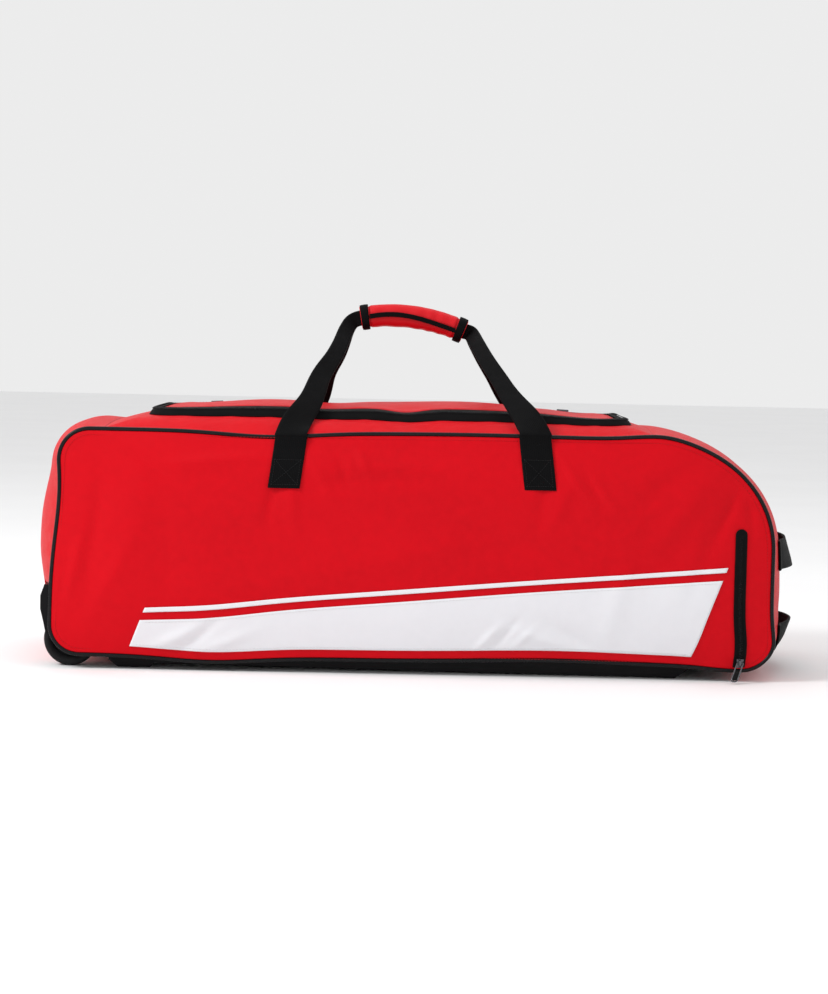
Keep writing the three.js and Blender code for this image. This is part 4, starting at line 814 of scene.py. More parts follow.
def textured(tree, shader, mask, roughness, spread, height, strength, bump):
    """Spreads a shader's roughness by a mask and raises its surface by a height."""
    rough = node(tree, "ShaderNodeMapRange", (-500, -200))
    rough.inputs["To Min"].default_value = roughness - spread
    rough.inputs["To Max"].default_value = roughness + spread
    tree.links.new(mask, rough.inputs["Value"])
    tree.links.new(rough.outputs["Result"], shader.inputs["Roughness"])
    relief = node(tree, "ShaderNodeBump", (-300, -400))
    relief.inputs["Strength"].default_value = strength
    relief.inputs["Distance"].default_value = bump
    tree.links.new(height, relief.inputs["Height"])
    tree.links.new(relief.outputs["Normal"], shader.inputs["Normal"])


def tinted(tree, mask, base, dark, low, high, place):
    """Base colour that turns dark as the mask goes from low to high."""
    ramp = node(tree, "ShaderNodeMapRange", (place[0] - 200, place[1]))
    ramp.inputs["From Min"].default_value = low
    ramp.inputs["From Max"].default_value = high
    tree.links.new(mask, ramp.inputs["Value"])
    mix = node(tree, "ShaderNodeMix", place, data_type="RGBA")
    mix.inputs[6].default_value = (*base, 1)
    mix.inputs[7].default_value = (*dark, 1)
    tree.links.new(ramp.outputs["Result"], mix.inputs["Factor"])
    return mix.outputs[2]


def woven(name, base, dark, pitch, roughness, spread, bump, sheen, specular=0.22):
    """Woven cloth or webbing: painted shade darkens the colour in the thread gaps, patches of wear vary
    it and the roughness, and the threads stand out by the bump."""
    material, tree, shader = new_material(name)
    uv = node(tree, "ShaderNodeUVMap", (-1300, 0), uv_map="UVMap")
    weave = group_node(tree, weave_group(), (-1050, 0))
    weave.inputs["Threads per metre"].default_value = 1 / pitch
    tree.links.new(uv.outputs[0], weave.inputs["Vector"])
    wear = wear_node(tree, *CLOTH_WEAR)
    # Painted shade in the thread gaps plus the random wear, which together turn the colour dark
    blend = math_node(tree, "ADD", (-820, -100), weave.outputs["Gap shade"],
                      math_node(tree, "MULTIPLY", (-900, -260), wear.outputs["Mask"], WEAR_SHARE))
    tree.links.new(tinted(tree, blend, base, dark, 0.25, 1.7, (-400, 100)), shader.inputs["Base Color"])
    textured(tree, shader, wear.outputs["Grain"], roughness, spread, weave.outputs["Height"],
             CLOTH_RELIEF, bump)
    shader.inputs["Sheen Weight"].default_value = sheen
    shader.inputs["Sheen Roughness"].default_value = 0.45
    shader.inputs["Specular IOR Level"].default_value = specular
    return material


def moulded(name, base, dark, roughness, spread, metallic=0.0, fine=900.0, bump=0.00006, specular=0.25):
    """Moulded plastic, rubber, vinyl or metal: fine grain in the surface and soft wear in its colour."""
    material, tree, shader = new_material(name)
    wear = wear_node(tree, MOULDED_WEAR, fine)
    tint = tinted(tree, wear.outputs["Mask"], base, dark, 0.1, 0.5, (-400, 100))
    tree.links.new(tint, shader.inputs["Base Color"])
    textured(tree, shader, wear.outputs["Mask"], roughness, spread, wear.outputs["Grain"],
             MOULDED_RELIEF, bump)
    shader.inputs["Metallic"].default_value = metallic
    if not metallic:
        shader.inputs["Specular IOR Level"].default_value = specular
    return material


MATERIALS = {}


def shaded(colour, share):
    """A colour with a share of its light."""
    return tuple(share * value for value in colour)


def finish_of(key):
    """The bag's finishes, each made once from the colours in the panel."""
    if key in MATERIALS:
        return MATERIALS[key]
    cloth = bpy.context.scene.kit_bag_cloth
    straps = bpy.context.scene.kit_bag_straps
    red, black = tuple(cloth.red), tuple(straps.black)
    # Darker red for the painted shade in the weave's gaps and for the random wear
    shade_and_wear_red = shaded(red, 0.72)
    # Each woven finish's second colour is its painted shade in the thread gaps, mixed with its wear
    makers = {
        "red_cloth": lambda: woven(
            "red_cloth", red, shade_and_wear_red, cloth.weave_pitch, 0.46, 0.08, 0.00018, 0.01, 0.08),
        "white_cloth": lambda: woven(
            "white_cloth", (0.75, 0.755, 0.785), (0.69, 0.695, 0.725), cloth.weave_pitch, 0.5, 0.06,
            0.00008, 0.02),
        "grip_cloth": lambda: woven(
            "grip_cloth", red, shade_and_wear_red, cloth.weave_pitch, 0.52, 0.08, 0.0002, 0.04),
        "webbing": lambda: woven(
            "webbing", black, shaded(black, 0.35), straps.weave_pitch, 0.62, 0.08, 0.0004, 0.01, 0.06),
        "zip_tape": lambda: woven(
            "zip_tape", (0.005, 0.005, 0.0055), (0.002, 0.002, 0.002), 0.0011, 0.8, 0.06, 0.0002, 0.01,
            0.08),
        "base_cloth": lambda: woven(
            "base_cloth", (0.008, 0.008, 0.009), (0.003, 0.003, 0.004), 0.0014, 0.6, 0.08, 0.0003, 0.01,
            0.08),
        "piping": lambda: moulded(
            "piping", (0.004, 0.004, 0.0045), (0.008, 0.008, 0.009), 0.3, 0.06, specular=0.16),
        "teeth": lambda: moulded("teeth", (0.007, 0.007, 0.008), (0.012, 0.012, 0.013), 0.3, 0.06),
        "plastic": lambda: moulded(
            "plastic", (0.004, 0.004, 0.0045), (0.009, 0.009, 0.01), 0.36, 0.1, specular=0.08),
        "tyre": lambda: moulded(
            "tyre", (0.006, 0.006, 0.0065), (0.012, 0.012, 0.013), 0.62, 0.1, fine=500.0, bump=0.00012,
            specular=0.15),
        "metal": lambda: moulded("metal", (0.09, 0.09, 0.1), (0.15, 0.15, 0.16), 0.3, 0.08, metallic=1.0),
        "steel": lambda: moulded("steel", (0.5, 0.51, 0.53), (0.38, 0.38, 0.4), 0.28, 0.08, metallic=1.0),
        "red_thread": lambda: moulded("red_thread", shaded(red, 0.75), shade_and_wear_red, 0.6, 0.1),
        "black_thread": lambda: moulded(
            "black_thread", (0.011, 0.011, 0.012), (0.006, 0.006, 0.007), 0.5, 0.1),
        "white_thread": lambda: moulded("white_thread", (0.72, 0.72, 0.74), (0.6, 0.6, 0.62), 0.6, 0.1),
    }
    MATERIALS[key] = makers[key]()
    return MATERIALS[key]


# Sizes and colours that a user would change


class KitBagCloth(bpy.types.PropertyGroup):
    """Colour and finish of the cloth"""
    red: bpy.props.FloatVectorProperty(
        name="Cloth colour", description="Colour of the bag's cloth", subtype="COLOR", size=3,
        default=(0.63, 0.0015, 0.008), min=0, max=1)
    weave_pitch: bpy.props.FloatProperty(
        name="Weave pitch", description="Distance between the cloth's threads", default=0.0009,
        min=0.0003, max=0.003, unit="LENGTH")
    crease_depth: bpy.props.FloatProperty(
        name="Crease depth", description="Depth of the small creases in the sides", default=0.0023,
        min=0, max=0.004, unit="LENGTH")
    stitch_pitch: bpy.props.FloatProperty(
        name="Stitch pitch", description="Distance from one stitch to the next", default=0.0042,
        min=0.002, max=0.008, unit="LENGTH")


class KitBagStraps(bpy.types.PropertyGroup):
    """Colour and finish of the webbing"""
    black: bpy.props.FloatVectorProperty(
        name="Webbing colour", description="Colour of the straps and handles", subtype="COLOR", size=3,
        default=(0.0032, 0.0032, 0.0036), min=0, max=1)
    weave_pitch: bpy.props.FloatProperty(
        name="Webbing pitch", description="Distance between the webbing's ribs", default=0.0019,
        min=0.001, max=0.005, unit="LENGTH")
    grip_puff: bpy.props.FloatProperty(
        name="Grip puff", description="How far the padding swells in the middle of the grip",
        default=0.06, min=0, max=0.1)


class KitBagStage(bpy.types.PropertyGroup):
    """Camera and light"""
    elevation: bpy.props.FloatProperty(
        name="Camera elevation", description="Angle of the camera above the horizon",
        default=math.radians(4), subtype="ANGLE")
    roll: bpy.props.FloatProperty(
        name="Camera roll", description="Turn of the camera about its own axis",
        default=math.radians(1.2), subtype="ANGLE")
    distance: bpy.props.FloatProperty(
        name="Camera distance", description="Distance from the camera to the point it looks at",
        default=3.1, min=0.5, max=10, unit="LENGTH")
    lens: bpy.props.FloatProperty(
        name="Lens", description="Focal length of the camera", default=85, min=20, max=200,
        unit="CAMERA")
    key_power: bpy.props.FloatProperty(
        name="Key light", description="Power of the main light", default=66, min=0, max=1000,
        unit="POWER")


# Pieces

BAG_MIDDLE = (0.0, 0.0, 160.0)

# The stage, in metres, and its lamps: place, share of the key light's power and size
CAMERA_TARGET = (-0.006, 0.003, 0.2135)
FLOOR_HALF = 12.0
FLOOR_COLOURS = ((0.88, 0.88, 0.885), (0.86, 0.86, 0.865))
WORLD_STRENGTH = 0.84
LAMPS = {
    "key": ((-2.3, -1.3, 2.3), 1, 1.0), "fill": ((2.4, -1.6, 1.6), 1 / 16, 2.2),
    "top": ((0.2, 0.5, 3.2), 1 / 4, 2.4),
}


class KITBAG_OT_stage(bpy.types.Operator):
    """Camera, pale floor and soft lights"""
    bl_idname = "kitbag.stage"
    bl_label = "Stage"

    def execute(self, context):
        stage = context.scene.kit_bag_stage
        data = bpy.data.cameras.new("camera")
        data.lens = stage.lens
        data.sensor_fit = "VERTICAL"
        data.sensor_height = 36
        data.clip_end = 50
        camera = bpy.data.objects.new("camera", data)
        context.scene.collection.objects.link(camera)
        target = Vector(CAMERA_TARGET)
        look = Vector((0, math.cos(stage.elevation), -math.sin(stage.elevation)))
        camera.location = target - look * stage.distance
        turn = look.to_track_quat("-Z", "Y").to_matrix().to_4x4()
        camera.matrix_world = (Matrix.Translation(camera.location) @ turn
                               @ Matrix.Rotation(stage.roll, 4, "Z"))
        context.scene.camera = camera

        floor_mesh = bpy.data.meshes.new("floor")
        floor_mesh.from_pydata([(FLOOR_HALF * x, FLOOR_HALF * y, 0) for x, y in
                                ((-1, -1), (1, -1), (1, 1), (-1, 1))], [], [(0, 1, 2, 3)])
        floor = bpy.data.objects.new("floor", floor_mesh)
        context.scene.collection.objects.link(floor)
        pale, tree, shader = new_material("pale_floor")
        grain = node(tree, "ShaderNodeTexNoise", (-600, 0))
        place = node(tree, "ShaderNodeTexCoord", (-800, 0))
        tree.links.new(place.outputs["Object"], grain.inputs["Vector"])
        grain.inputs["Scale"].default_value = 3
        tint = tinted(tree, grain.outputs["Fac"], *FLOOR_COLOURS, 0.3, 0.7, (-300, 0))
        tree.links.new(tint, shader.inputs["Base Color"])
        shader.inputs["Roughness"].default_value = 0.9
        floor.data.materials.append(pale)

        world = bpy.data.worlds.new("studio")
        context.scene.world = world
        world.use_nodes = True
        background = world.node_tree.nodes["Background"]
        background.inputs["Color"].default_value = (1, 1, 1, 1)
        background.inputs["Strength"].default_value = WORLD_STRENGTH
        context.scene.view_settings.view_transform = "Standard"
        for name, (spot, share, size) in LAMPS.items():
            light = bpy.data.lights.new(name, "AREA")
            light.energy = stage.key_power * share
            light.size = size
            lamp = bpy.data.objects.new(name, light)
            lamp.location = spot
            lamp.rotation_euler = (target - Vector(spot)).to_track_quat("-Z", "Y").to_euler()
            context.scene.collection.objects.link(lamp)
        return {"FINISHED"}


def side_grid(side, columns, rows, inset):
    """A patch stretched between four edges that run from mid-corner to mid-corner: the sum of the two
    blends between opposite edges, less the blend of the four corners."""
    def edge(first, last, count):
        return spaced(np.concatenate(
            [corner_points(first, inset, 0.5, 1), corner_points(last, inset, 0, 0.5)]), count)
    base = edge("wheel_end_low", "tow_end_low", columns)
    tow = edge("tow_end_low", "shoulder", rows)
    top = edge("shoulder", "wheel_end_top", columns)[::-1]
    wheel = edge("wheel_end_top", "wheel_end_low", rows)[::-1]
    u = np.linspace(0, 1, columns + 1)[:, None, None]
    v = np.linspace(0, 1, rows + 1)[None, :, None]
    corners = (1 - v) * ((1 - u) * base[0] + u * base[-1]) + v * ((1 - u) * top[0] + u * top[-1])
    flat = (1 - v) * base[:, None] + v * top[:, None] + (1 - u) * wheel[None] + u * tow[None] - corners
    return side_point(side, flat[..., 0], flat[..., 1])


class KITBAG_OT_sides(bpy.types.Operator):
    """Front and back cloth panels"""
    bl_idname = "kitbag.sides"
    bl_label = "Side panels"

    def execute(self, context):
        inset = PIPING_RADIUS + SIDE_EDGE_GAP
        for name, side in (("front_panel", -1), ("back_panel", 1)):
            grid = side_grid(side, 240, 84, inset)
            panel = surface(f"{name}_cloth", grid, away=BAG_MIDDLE)
            thicken(panel, CLOTH)
            dress(panel, finish_of("red_cloth"), nodes=[name])
        return {"FINISHED"}


class KITBAG_OT_piping(bpy.types.Operator):
    """Black piping round both sides"""
    bl_idname = "kitbag.piping"
    bl_label = "Piping"

    def execute(self, context):
        line = np.concatenate([corner_points(name) for name in
                               ("wheel_end_low", "tow_end_low", "shoulder", "wheel_end_top")])
        line = np.concatenate([line, line[:1]])
        line = spaced(line, 520)[:-1]
        x, z = sag(line[:, 0], line[:, 1])
        step = unit(np.stack([np.roll(x, -1) - np.roll(x, 1), np.roll(z, -1) - np.roll(z, 1)], axis=1))
        out = np.stack([step[:, 1], np.zeros(len(x)), -step[:, 0]], axis=1)
        turn = np.linspace(0, 2 * math.pi, 13)[:-1]
        for name, side in (("piping_front", -1), ("piping_back", 1)):
            middle = np.stack([x, np.full_like(x, side * (HALF_DEPTH - PIPING_RADIUS)), z], axis=1)
            points = (middle[:, None] + PIPING_RADIUS * np.cos(turn)[None, :, None] * out[:, None]
                      + PIPING_RADIUS * np.sin(turn)[None, :, None] * np.array([0.0, 1.0, 0.0]))
            cord = surface(f"{name}_vinyl", points, ring=True, tube=True)
            dress(cord, finish_of("piping"), nodes=[name])
        return {"FINISHED"}


class KITBAG_OT_ends(bpy.types.Operator):
    """Wheel-end and tow-end cloth panels"""
    bl_idname = "kitbag.ends"
    bl_label = "End panels"

    def execute(self, context):
        edge = GUSSET_HALF
        cut = HOUSING_INNER_Y - SEAM_GAP
        across = np.concatenate([np.linspace(-edge, -cut, 17), np.linspace(-cut, cut, 57)[1:-1],
                                 np.linspace(cut, edge, 17)])
        stations = 220
        grid = end_surface("wheel_end", stations, across)
        _, z, _, share = end_run("wheel_end", stations)
        low = (z < HOUSING_HEAD_Z + SEAM_GAP) & (share > 0.4)
        beside = np.abs((across[1:] + across[:-1]) / 2) > cut
        in_housing = low[:-1, None] & beside[None, :]
        panel = surface("wheel_end_cloth", grid, keep=~in_housing, away=BAG_MIDDLE)
        dress(thicken(panel, CLOTH), finish_of("red_cloth"), nodes=["wheel_end_panel"])
        across = np.linspace(-edge, edge, 81)
        panel = surface("tow_end_cloth", end_surface("tow_end", 260, across), away=BAG_MIDDLE)
        dress(thicken(panel, CLOTH), finish_of("red_cloth"), nodes=["tow_end_panel"])
        return {"FINISHED"}


class KITBAG_OT_base(bpy.types.Operator):
    """Black base cloth, flat in the middle and following the seams at its edges"""
    bl_idname = "kitbag.base"
    bl_label = "Base"

    def execute(self, context):
        flat_share = (TRACK_HALF + RAIL_HALF_WIDTH + RAIL_MARGIN) / GUSSET_HALF
        x = np.linspace(BASE_SEAM_WHEEL_END_X, BASE_SEAM_TOW_END_X, 161)
        v = np.concatenate([
            np.linspace(-1, -flat_share, 9), np.linspace(-flat_share, flat_share, 31)[1:-1],
            np.linspace(flat_share, 1, 9)])
        _, edge = sag(x, np.full_like(x, BASE_Z))
        share = smooth(flat_share, 1, np.abs(v))
        z = BASE_Z * (1 - share)[None, :] + edge[:, None] * share[None, :] - CLOTH / 2
        points = np.stack([np.broadcast_to(x[:, None], z.shape),
                           np.broadcast_to((v * GUSSET_HALF)[None, :], z.shape), z], axis=-1)
        base = surface("base_cloth_sheet", points, away=BAG_MIDDLE)
        dress(thicken(base, CLOTH), finish_of("base_cloth"), nodes=["base_panel"])
        return {"FINISHED"}


def top_rim(foot):
    """Where a line from the bag's middle out through each foot point meets the seams, with the four
    nearest points drawn into the corners."""
    left = float(sag(np.array([TOP_SEAM_WHEEL_END_X]), np.array([TOP_Z]))[0][0])
    right = float(sag(np.array([TOP_SEAM_TOW_END_X]), np.array([TOP_Z]))[0][0])
    centre = foot_centre(foot)
    step = foot - centre
    step = np.where(np.abs(step) < 1e-9, 1e-9, step)
    reach_x = (np.where(step[:, 0] < 0, left, right) - centre[:, 0]) / step[:, 0]
    reach_y = (np.sign(step[:, 1]) * GUSSET_HALF - centre[:, 1]) / step[:, 1]
    rim = centre + step * np.minimum(reach_x, reach_y)[:, None]
    for x in (left, right):
        for y in (-GUSSET_HALF, GUSSET_HALF):
            rim[np.argmin(np.hypot(rim[:, 0] - x, rim[:, 1] - y))] = (x, y)
    return rim


class KITBAG_OT_top(bpy.types.Operator):
    """Cloth top round the lid, with the lid and its sewn hinge"""
    bl_idname = "kitbag.top"
    bl_label = "Top and lid"

    def execute(self, context):
        edge, foot = lid_loop(LID_STATIONS)
        rim = top_rim(foot)
        v = rim[:, 1] / GUSSET_HALF
        _, seam = sag(rim[:, 0], np.full(len(rim), TOP_Z))
        rim_z = seam + CLOTH / 2 + TOP_SEAM_SWELL * np.maximum(0, 1 - v * v)
        t = np.linspace(0, 1, 19)
        rise = np.sin(t * math.pi / 2) ** TOP_RISE_POWER
        flat = rim[:, None] * (1 - t)[None, :, None] + foot[:, None] * t[None, :, None]
        foot_z = zip_foot_height(foot[:, 0], foot[:, 1])
        z = rim_z[:, None] * (1 - rise) + foot_z[:, None] * rise
        beside_zip = smooth(0.7, 0.92, t) * smooth(1.0, 0.96, t)
        z = z + puckered(run_length(foot), TOP_PUCKER)[:, None] * beside_zip[None, :]
        points = np.concatenate([flat, z[..., None]], axis=-1)
        top = surface("top_cloth", points, ring=True, away=BAG_MIDDLE)
        dress(thicken(top, CLOTH), finish_of("red_cloth"), nodes=["top_panel"])

        v = np.sin(np.linspace(-math.pi / 2, math.pi / 2, 97))
        u = np.linspace(-1, 1, 181)
        half_y = LID_HALF_DEPTH - SEAM_GAP
        y = v * half_y
        over = np.clip(np.abs(y) - (half_y - LID_CORNER), 0, LID_CORNER)
        straight = (LID_X[1] - LID_X[0]) / 2 - ZIP_WIDTH - SEAM_GAP - LID_CORNER
        half_x = straight + np.sqrt(LID_CORNER ** 2 - over ** 2)
        x = LID_MIDDLE_X + u[:, None] * half_x[None, :]
        yy = np.broadcast_to(y[None, :], x.shape)
        distance = np.minimum(half_x[None, :] * (1 - np.abs(u))[:, None], (half_y - np.abs(y))[None, :])
        drop, run = LID_EDGE
        ridge, ridge_place, ridge_width = LID_RIDGE
        band_place, band_width = LID_PUCKER_BAND
        z = (lid_height(x, yy) - drop * (1 - smooth(0, run, distance))
             + ridge * bell((distance - ridge_place) / ridge_width)
             + puckered(x, LID_PUCKER) * bell((distance - band_place) / band_width))
        lid = surface("lid_cloth", np.stack([x, yy, z], axis=-1), away=BAG_MIDDLE)
        dress(thicken(lid, CLOTH), finish_of("red_cloth"), nodes=["lid"])

        in_hinge = hinge_places(foot)
        shares = np.linspace(0.02, 0.98, 9)
        hinge = slope_points(edge[in_hinge], foot[in_hinge], shares)
        hinge[..., 2] += (HINGE_BULGE * np.sin(shares * math.pi))[None, :]
        band = surface("lid_hinge_cloth", hinge, away=BAG_MIDDLE)
        dress(thicken(band, CLOTH), finish_of("red_cloth"), nodes=["lid_hinge"])
        return {"FINISHED"}


def hinge_places(foot):
    """The stations along the back of the lid, between its corners, where cloth takes the zip's place."""
    x0, x1 = node_box("lid_hinge")[:, 0]
    return np.flatnonzero((foot[:, 1] > 0) & (foot[:, 0] > x0) & (foot[:, 0] < x1)
                          & (foot[:, 1] > FOOT_HALF - 2))


def coil(name, places, across, out, teeth):
    """A zip's teeth, which stand by turns to either side of its middle line."""
    side = np.where(np.arange(len(places)) % 2 == 0, -1.0, 1.0)[:, None]
    centres = places + teeth.stagger * side * unit(across)
    return dashes(name, centres, across, out, teeth.length, teeth.width, teeth.height)


class KITBAG_OT_lid_zip(bpy.types.Operator):
    """Tape and coil of the lid's zip, run round three sides"""
    bl_idname = "kitbag.lid_zip"
    bl_label = "Lid zip"

    def execute(self, context):
        edge, foot = lid_loop(LID_STATIONS)
        hinge = hinge_places(foot)
        order = np.arange(hinge[-1] + 1, hinge[0] + len(foot)) % len(foot)
        edge, foot = edge[order], foot[order]
        shares = np.array([0.01, 0.04, 0.12, 0.2, 0.3, 0.4, 0.46, 0.54, 0.6, 0.7, 0.8, 0.88, 0.96, 0.99])
        roll = zip_roll(len(foot))
        grid = rolled(slope_points(edge, foot, shares), edge, foot, shares, roll)
        grid[..., 2] += np.where(np.abs(shares - 0.5) > 0.4, ZIP_EDGE_RAISE, 0.0)[None, :]
        tape = surface("main_zip_tape_cloth", grid, away=BAG_MIDDLE)
        dress(thicken(tape, ZIP_TAPE), finish_of("zip_tape"), nodes=["main_zip_tape"])
        between_sliders = slice(6, -6)
        middle = slope_points(edge, foot, [0.5], lift=LID_TEETH.lift)
        middle = rolled(middle, edge, foot, [0.5], roll)
        middle = middle[between_sliders, 0]
        places = resampled(middle, LID_TEETH.pitch)
        along = unit(np.gradient(places, axis=0))
        slope = slope_points(edge, foot, [0.35, 0.65])[between_sliders]
        up = resampled_directions(middle, slope[:, 1] - slope[:, 0], len(places))
        out = unit(np.cross(along, up))
        out = np.where(out[:, 2:3] < 0, -out, out)
        teeth = coil("main_zip_coil", places, up, out, LID_TEETH)
        dress(teeth, finish_of("teeth"), nodes=["main_zip_chain"])
        return {"FINISHED"}


def resampled_directions(line, directions, count):
    """Directions given along a line, at count equal distances of it."""
    reach = run_length(line)
    goal = np.linspace(0, reach[-1], count)
    return unit(np.stack([np.interp(goal, reach, directions[:, k]) for k in range(3)], axis=1))


def front_band(low, high, rows, columns=240):
    """A band on the front between two heights, whose ends lean towards the tow end."""
    u = np.linspace(0, 1, columns + 1)[:, None]
    v = np.linspace(0, 1, rows + 1)[None, :]
    z = low(u) * (1 - v) + high(u) * v
    x = FLASH_X[0] * (1 - u) + FLASH_X[1] * u + FLASH_LEAN * (z - BASE_Z - FLASH_FOOT) / FLASH_HEIGHTS[1]
    return side_point(-1, x, z, FLASH_LIFT)


def flash_low(u):
    """Height of the white wedge's lower edge."""
    return BASE_Z + FLASH_FOOT + 0 * u


def flash_high(u):
    """Height of the white wedge's upper edge."""
    return flash_low(u) + FLASH_HEIGHTS[0] * (1 - u) + FLASH_HEIGHTS[1] * u


class KITBAG_OT_flash(bpy.types.Operator):
    """White wedge and pinstripe on the front"""
    bl_idname = "kitbag.flash"
    bl_label = "White flash"

    def execute(self, context):
        def stripe_low(u):
            return flash_high(u) + PINSTRIPE[0]

        def stripe_high(u):
            return stripe_low(u) + PINSTRIPE[1]

        flash = surface("side_flash_cloth", front_band(flash_low, flash_high, 30), away=BAG_MIDDLE)
        dress(thicken(flash, FLASH_CLOTH), finish_of("white_cloth"), nodes=["side_flash"])
        stripe = surface("side_pinstripe_cloth", front_band(stripe_low, stripe_high, 4), away=BAG_MIDDLE)
        dress(thicken(stripe, FLASH_CLOTH), finish_of("white_cloth"),
              nodes=["side_pinstripe"])
        return {"FINISHED"}


def curve_through(values, steps):
    """A smooth line through rows of values: each span is the cubic of its own two rows and the rows
    before and after them."""
    padded = np.concatenate([values[:1] * 2 - values[1:2], values, values[-1:] * 2 - values[-2:-1]])
    t = np.linspace(0, 1, steps + 1)[:-1][:, None]
    a, b, c, d = (padded[k:k + len(values) - 1, None] for k in range(4))
    spans = 0.5 * (2 * b + (c - a) * t + (2 * a - 5 * b + 4 * c - d) * t ** 2
                   + (3 * b - a - 3 * c + d) * t ** 3)
    return np.concatenate([spans.reshape(-1, values.shape[1]), values[-1:]])


def strap_stations(side):
    """Middle, level direction across and fold of a strap, from its wheel-end base over the grip and down
    to its tow-end base. The level direction is 0 where the strap runs free."""
    lift = LAY_GAP + WEBBING_THICKNESS / 2

    def sewn(end):
        t = np.linspace(0, 1, 15)
        z = TOP_Z - STRAP_BASE * (1 - t)
        x = STRAP_OFFSET_X + end * (STRAP_HALF_SPACING - STRAP_SKEW * t)
        over = lift + PIPING_RADIUS * smooth(0.75, 1, t)
        points = side_point(side, x, np.minimum(z, TOP_Z - PIPING_RADIUS - STRAP_SEAM_MARGIN), over)
        points[:, 2] = sag(x, z)[1]
        level = np.full((len(t), 1), -end * side)
        return np.concatenate([points, level, np.zeros((len(t), 1))], axis=1)

    def free(end):
        from_x = STRAP_OFFSET_X + end * (STRAP_HALF_SPACING - STRAP_SKEW)
        from_z = float(sag(np.array([from_x]), np.array([TOP_Z]))[1][0]) + PIPING_DIAMETER
        start = np.array([from_x, side * (HALF_DEPTH + lift + LAY_GAP), from_z])
        stop = grip_middle(0.0 if end < 0 else 1.0)
        stop[1] = side * STRAP_SIDE
        run = np.array(STRAP_RUN)
        inward, up = (run[:, 1], run[:, 2]) if end < 0 else (run[:, 3], run[:, 4])
        share = np.stack([inward, run[:, 0], up], axis=1)
        points = start + (stop - start) * share
        fold = 1 - (1 - run[:, :1]) ** STRAP_FOLD_RATE[end]
        level = np.where(run[:, :1] == 0, -end * side, 0.0)
        return np.concatenate([points, level, fold], axis=1)

    t = np.linspace(0.03, 0.97, 9)
    held = grip_middle(t)
    held[:, 1] = side * STRAP_SIDE
    middle = np.concatenate([held, np.zeros((len(t), 1)), np.ones((len(t), 1))], axis=1)
    return np.concatenate([sewn(-1), free(-1), middle, free(1)[::-1], sewn(1)[::-1]])


def strap_profile(width, thickness):
    """Section of flat webbing with rounded edges, as places across it and through it."""
    half_width, half_thickness = 0.5 * width[:, None], 0.5 * thickness[:, None]
    turn = np.linspace(-math.pi / 2, math.pi / 2, 5)
    edge = np.stack([half_width - half_thickness * (1 - np.cos(turn)),
                     half_thickness * np.sin(turn)], axis=-1)
    share = 0.97 * np.linspace(0.75, -0.75, 7)
    face = np.stack([half_width * share, np.broadcast_to(half_thickness, (len(width), 7))], axis=-1)
    return np.concatenate([edge, face, -edge, -face], axis=1)


class KITBAG_OT_carry_straps(bpy.types.Operator):
    """Two webbing straps that rise from the sides to the grip"""
    bl_idname = "kitbag.carry_straps"
    bl_label = "Carry straps"

    def execute(self, context):
        for name, side in (("carry_strap_front", -1), ("carry_strap_back", 1)):
            line = curve_through(strap_stations(side), 5)
            middle, level, fold = line[:, :3], np.clip(line[:, 3:4], -1, 1), np.clip(line[:, 4], 0, 1)
            reach = run_length(middle)
            stray, step_x, step_y = STRAP_SLACK
            slack = stray * (1 - np.abs(level[:, 0])) * smooth(1, 0.8, fold)
            middle = middle + np.stack([slack * np.sin(reach / step_x), slack * np.cos(reach / step_y),
                                        np.zeros_like(slack)], axis=1)
            along = unit(np.gradient(middle, axis=0))
            outward = np.array([0.0, side, 0.0])
            through = unit(outward - along * (along @ outward)[:, None])
            free = np.cross(through, along) * (1 - np.abs(level))
            across = unit(free + level * np.array([1.0, 0.0, 0.0]))
            width = WEBBING_WIDTH + (FOLDED_WIDTH - WEBBING_WIDTH) * fold
            thickness = WEBBING_THICKNESS + (FOLDED_THICKNESS - WEBBING_THICKNESS) * fold
            section = strap_profile(width, thickness)
            points = (middle[:, None] + section[..., :1] * across[:, None]
                      + section[..., 1:] * through[:, None])
            strap = surface(f"{name}_webbing", points, tube=True, capped=True)
            dress(strap, finish_of("webbing"), nodes=[name])
        return {"FINISHED"}


def grip_section(t, height, depth, lift, sides, power=0.8):
    """Oval round the grip's middle line: a circle whose sine and cosine are raised to a power and
    stretched to the height and depth. A low power makes it squarer."""
    middle = grip_middle(t)
    along = unit(grip_middle(t + 0.01) - grip_middle(t - 0.01))
    up = np.stack([-along[:, 2], 0 * along[:, 0], along[:, 0]], axis=1)
    turn = np.linspace(0, 2 * math.pi, sides + 1)[:-1]

    def bulge(c):
        return np.sign(c) * np.abs(c) ** power

    rise = (height[:, None] / 2 + lift) * bulge(np.sin(turn))[None, :]
    reach = (depth / 2 + lift) * bulge(np.cos(turn))[None, :]
    return middle[:, None] + rise[..., None] * up[:, None] + reach[..., None] * np.array([0.0, 1.0, 0.0])


def grip_height(t):
    """Height of the grip at shares along it, with the puff of its padding in the middle."""
    puff = bpy.context.scene.kit_bag_straps.grip_puff
    return GRIP_HEIGHT * (1 + puff * np.sin(math.pi * t))


def flap_rise(t):
    """Height of the flap's wavy edge above the grip's middle line on its front."""
    wave, rate, below = FLAP_WAVE
    return wave * np.sin(t * rate) - below


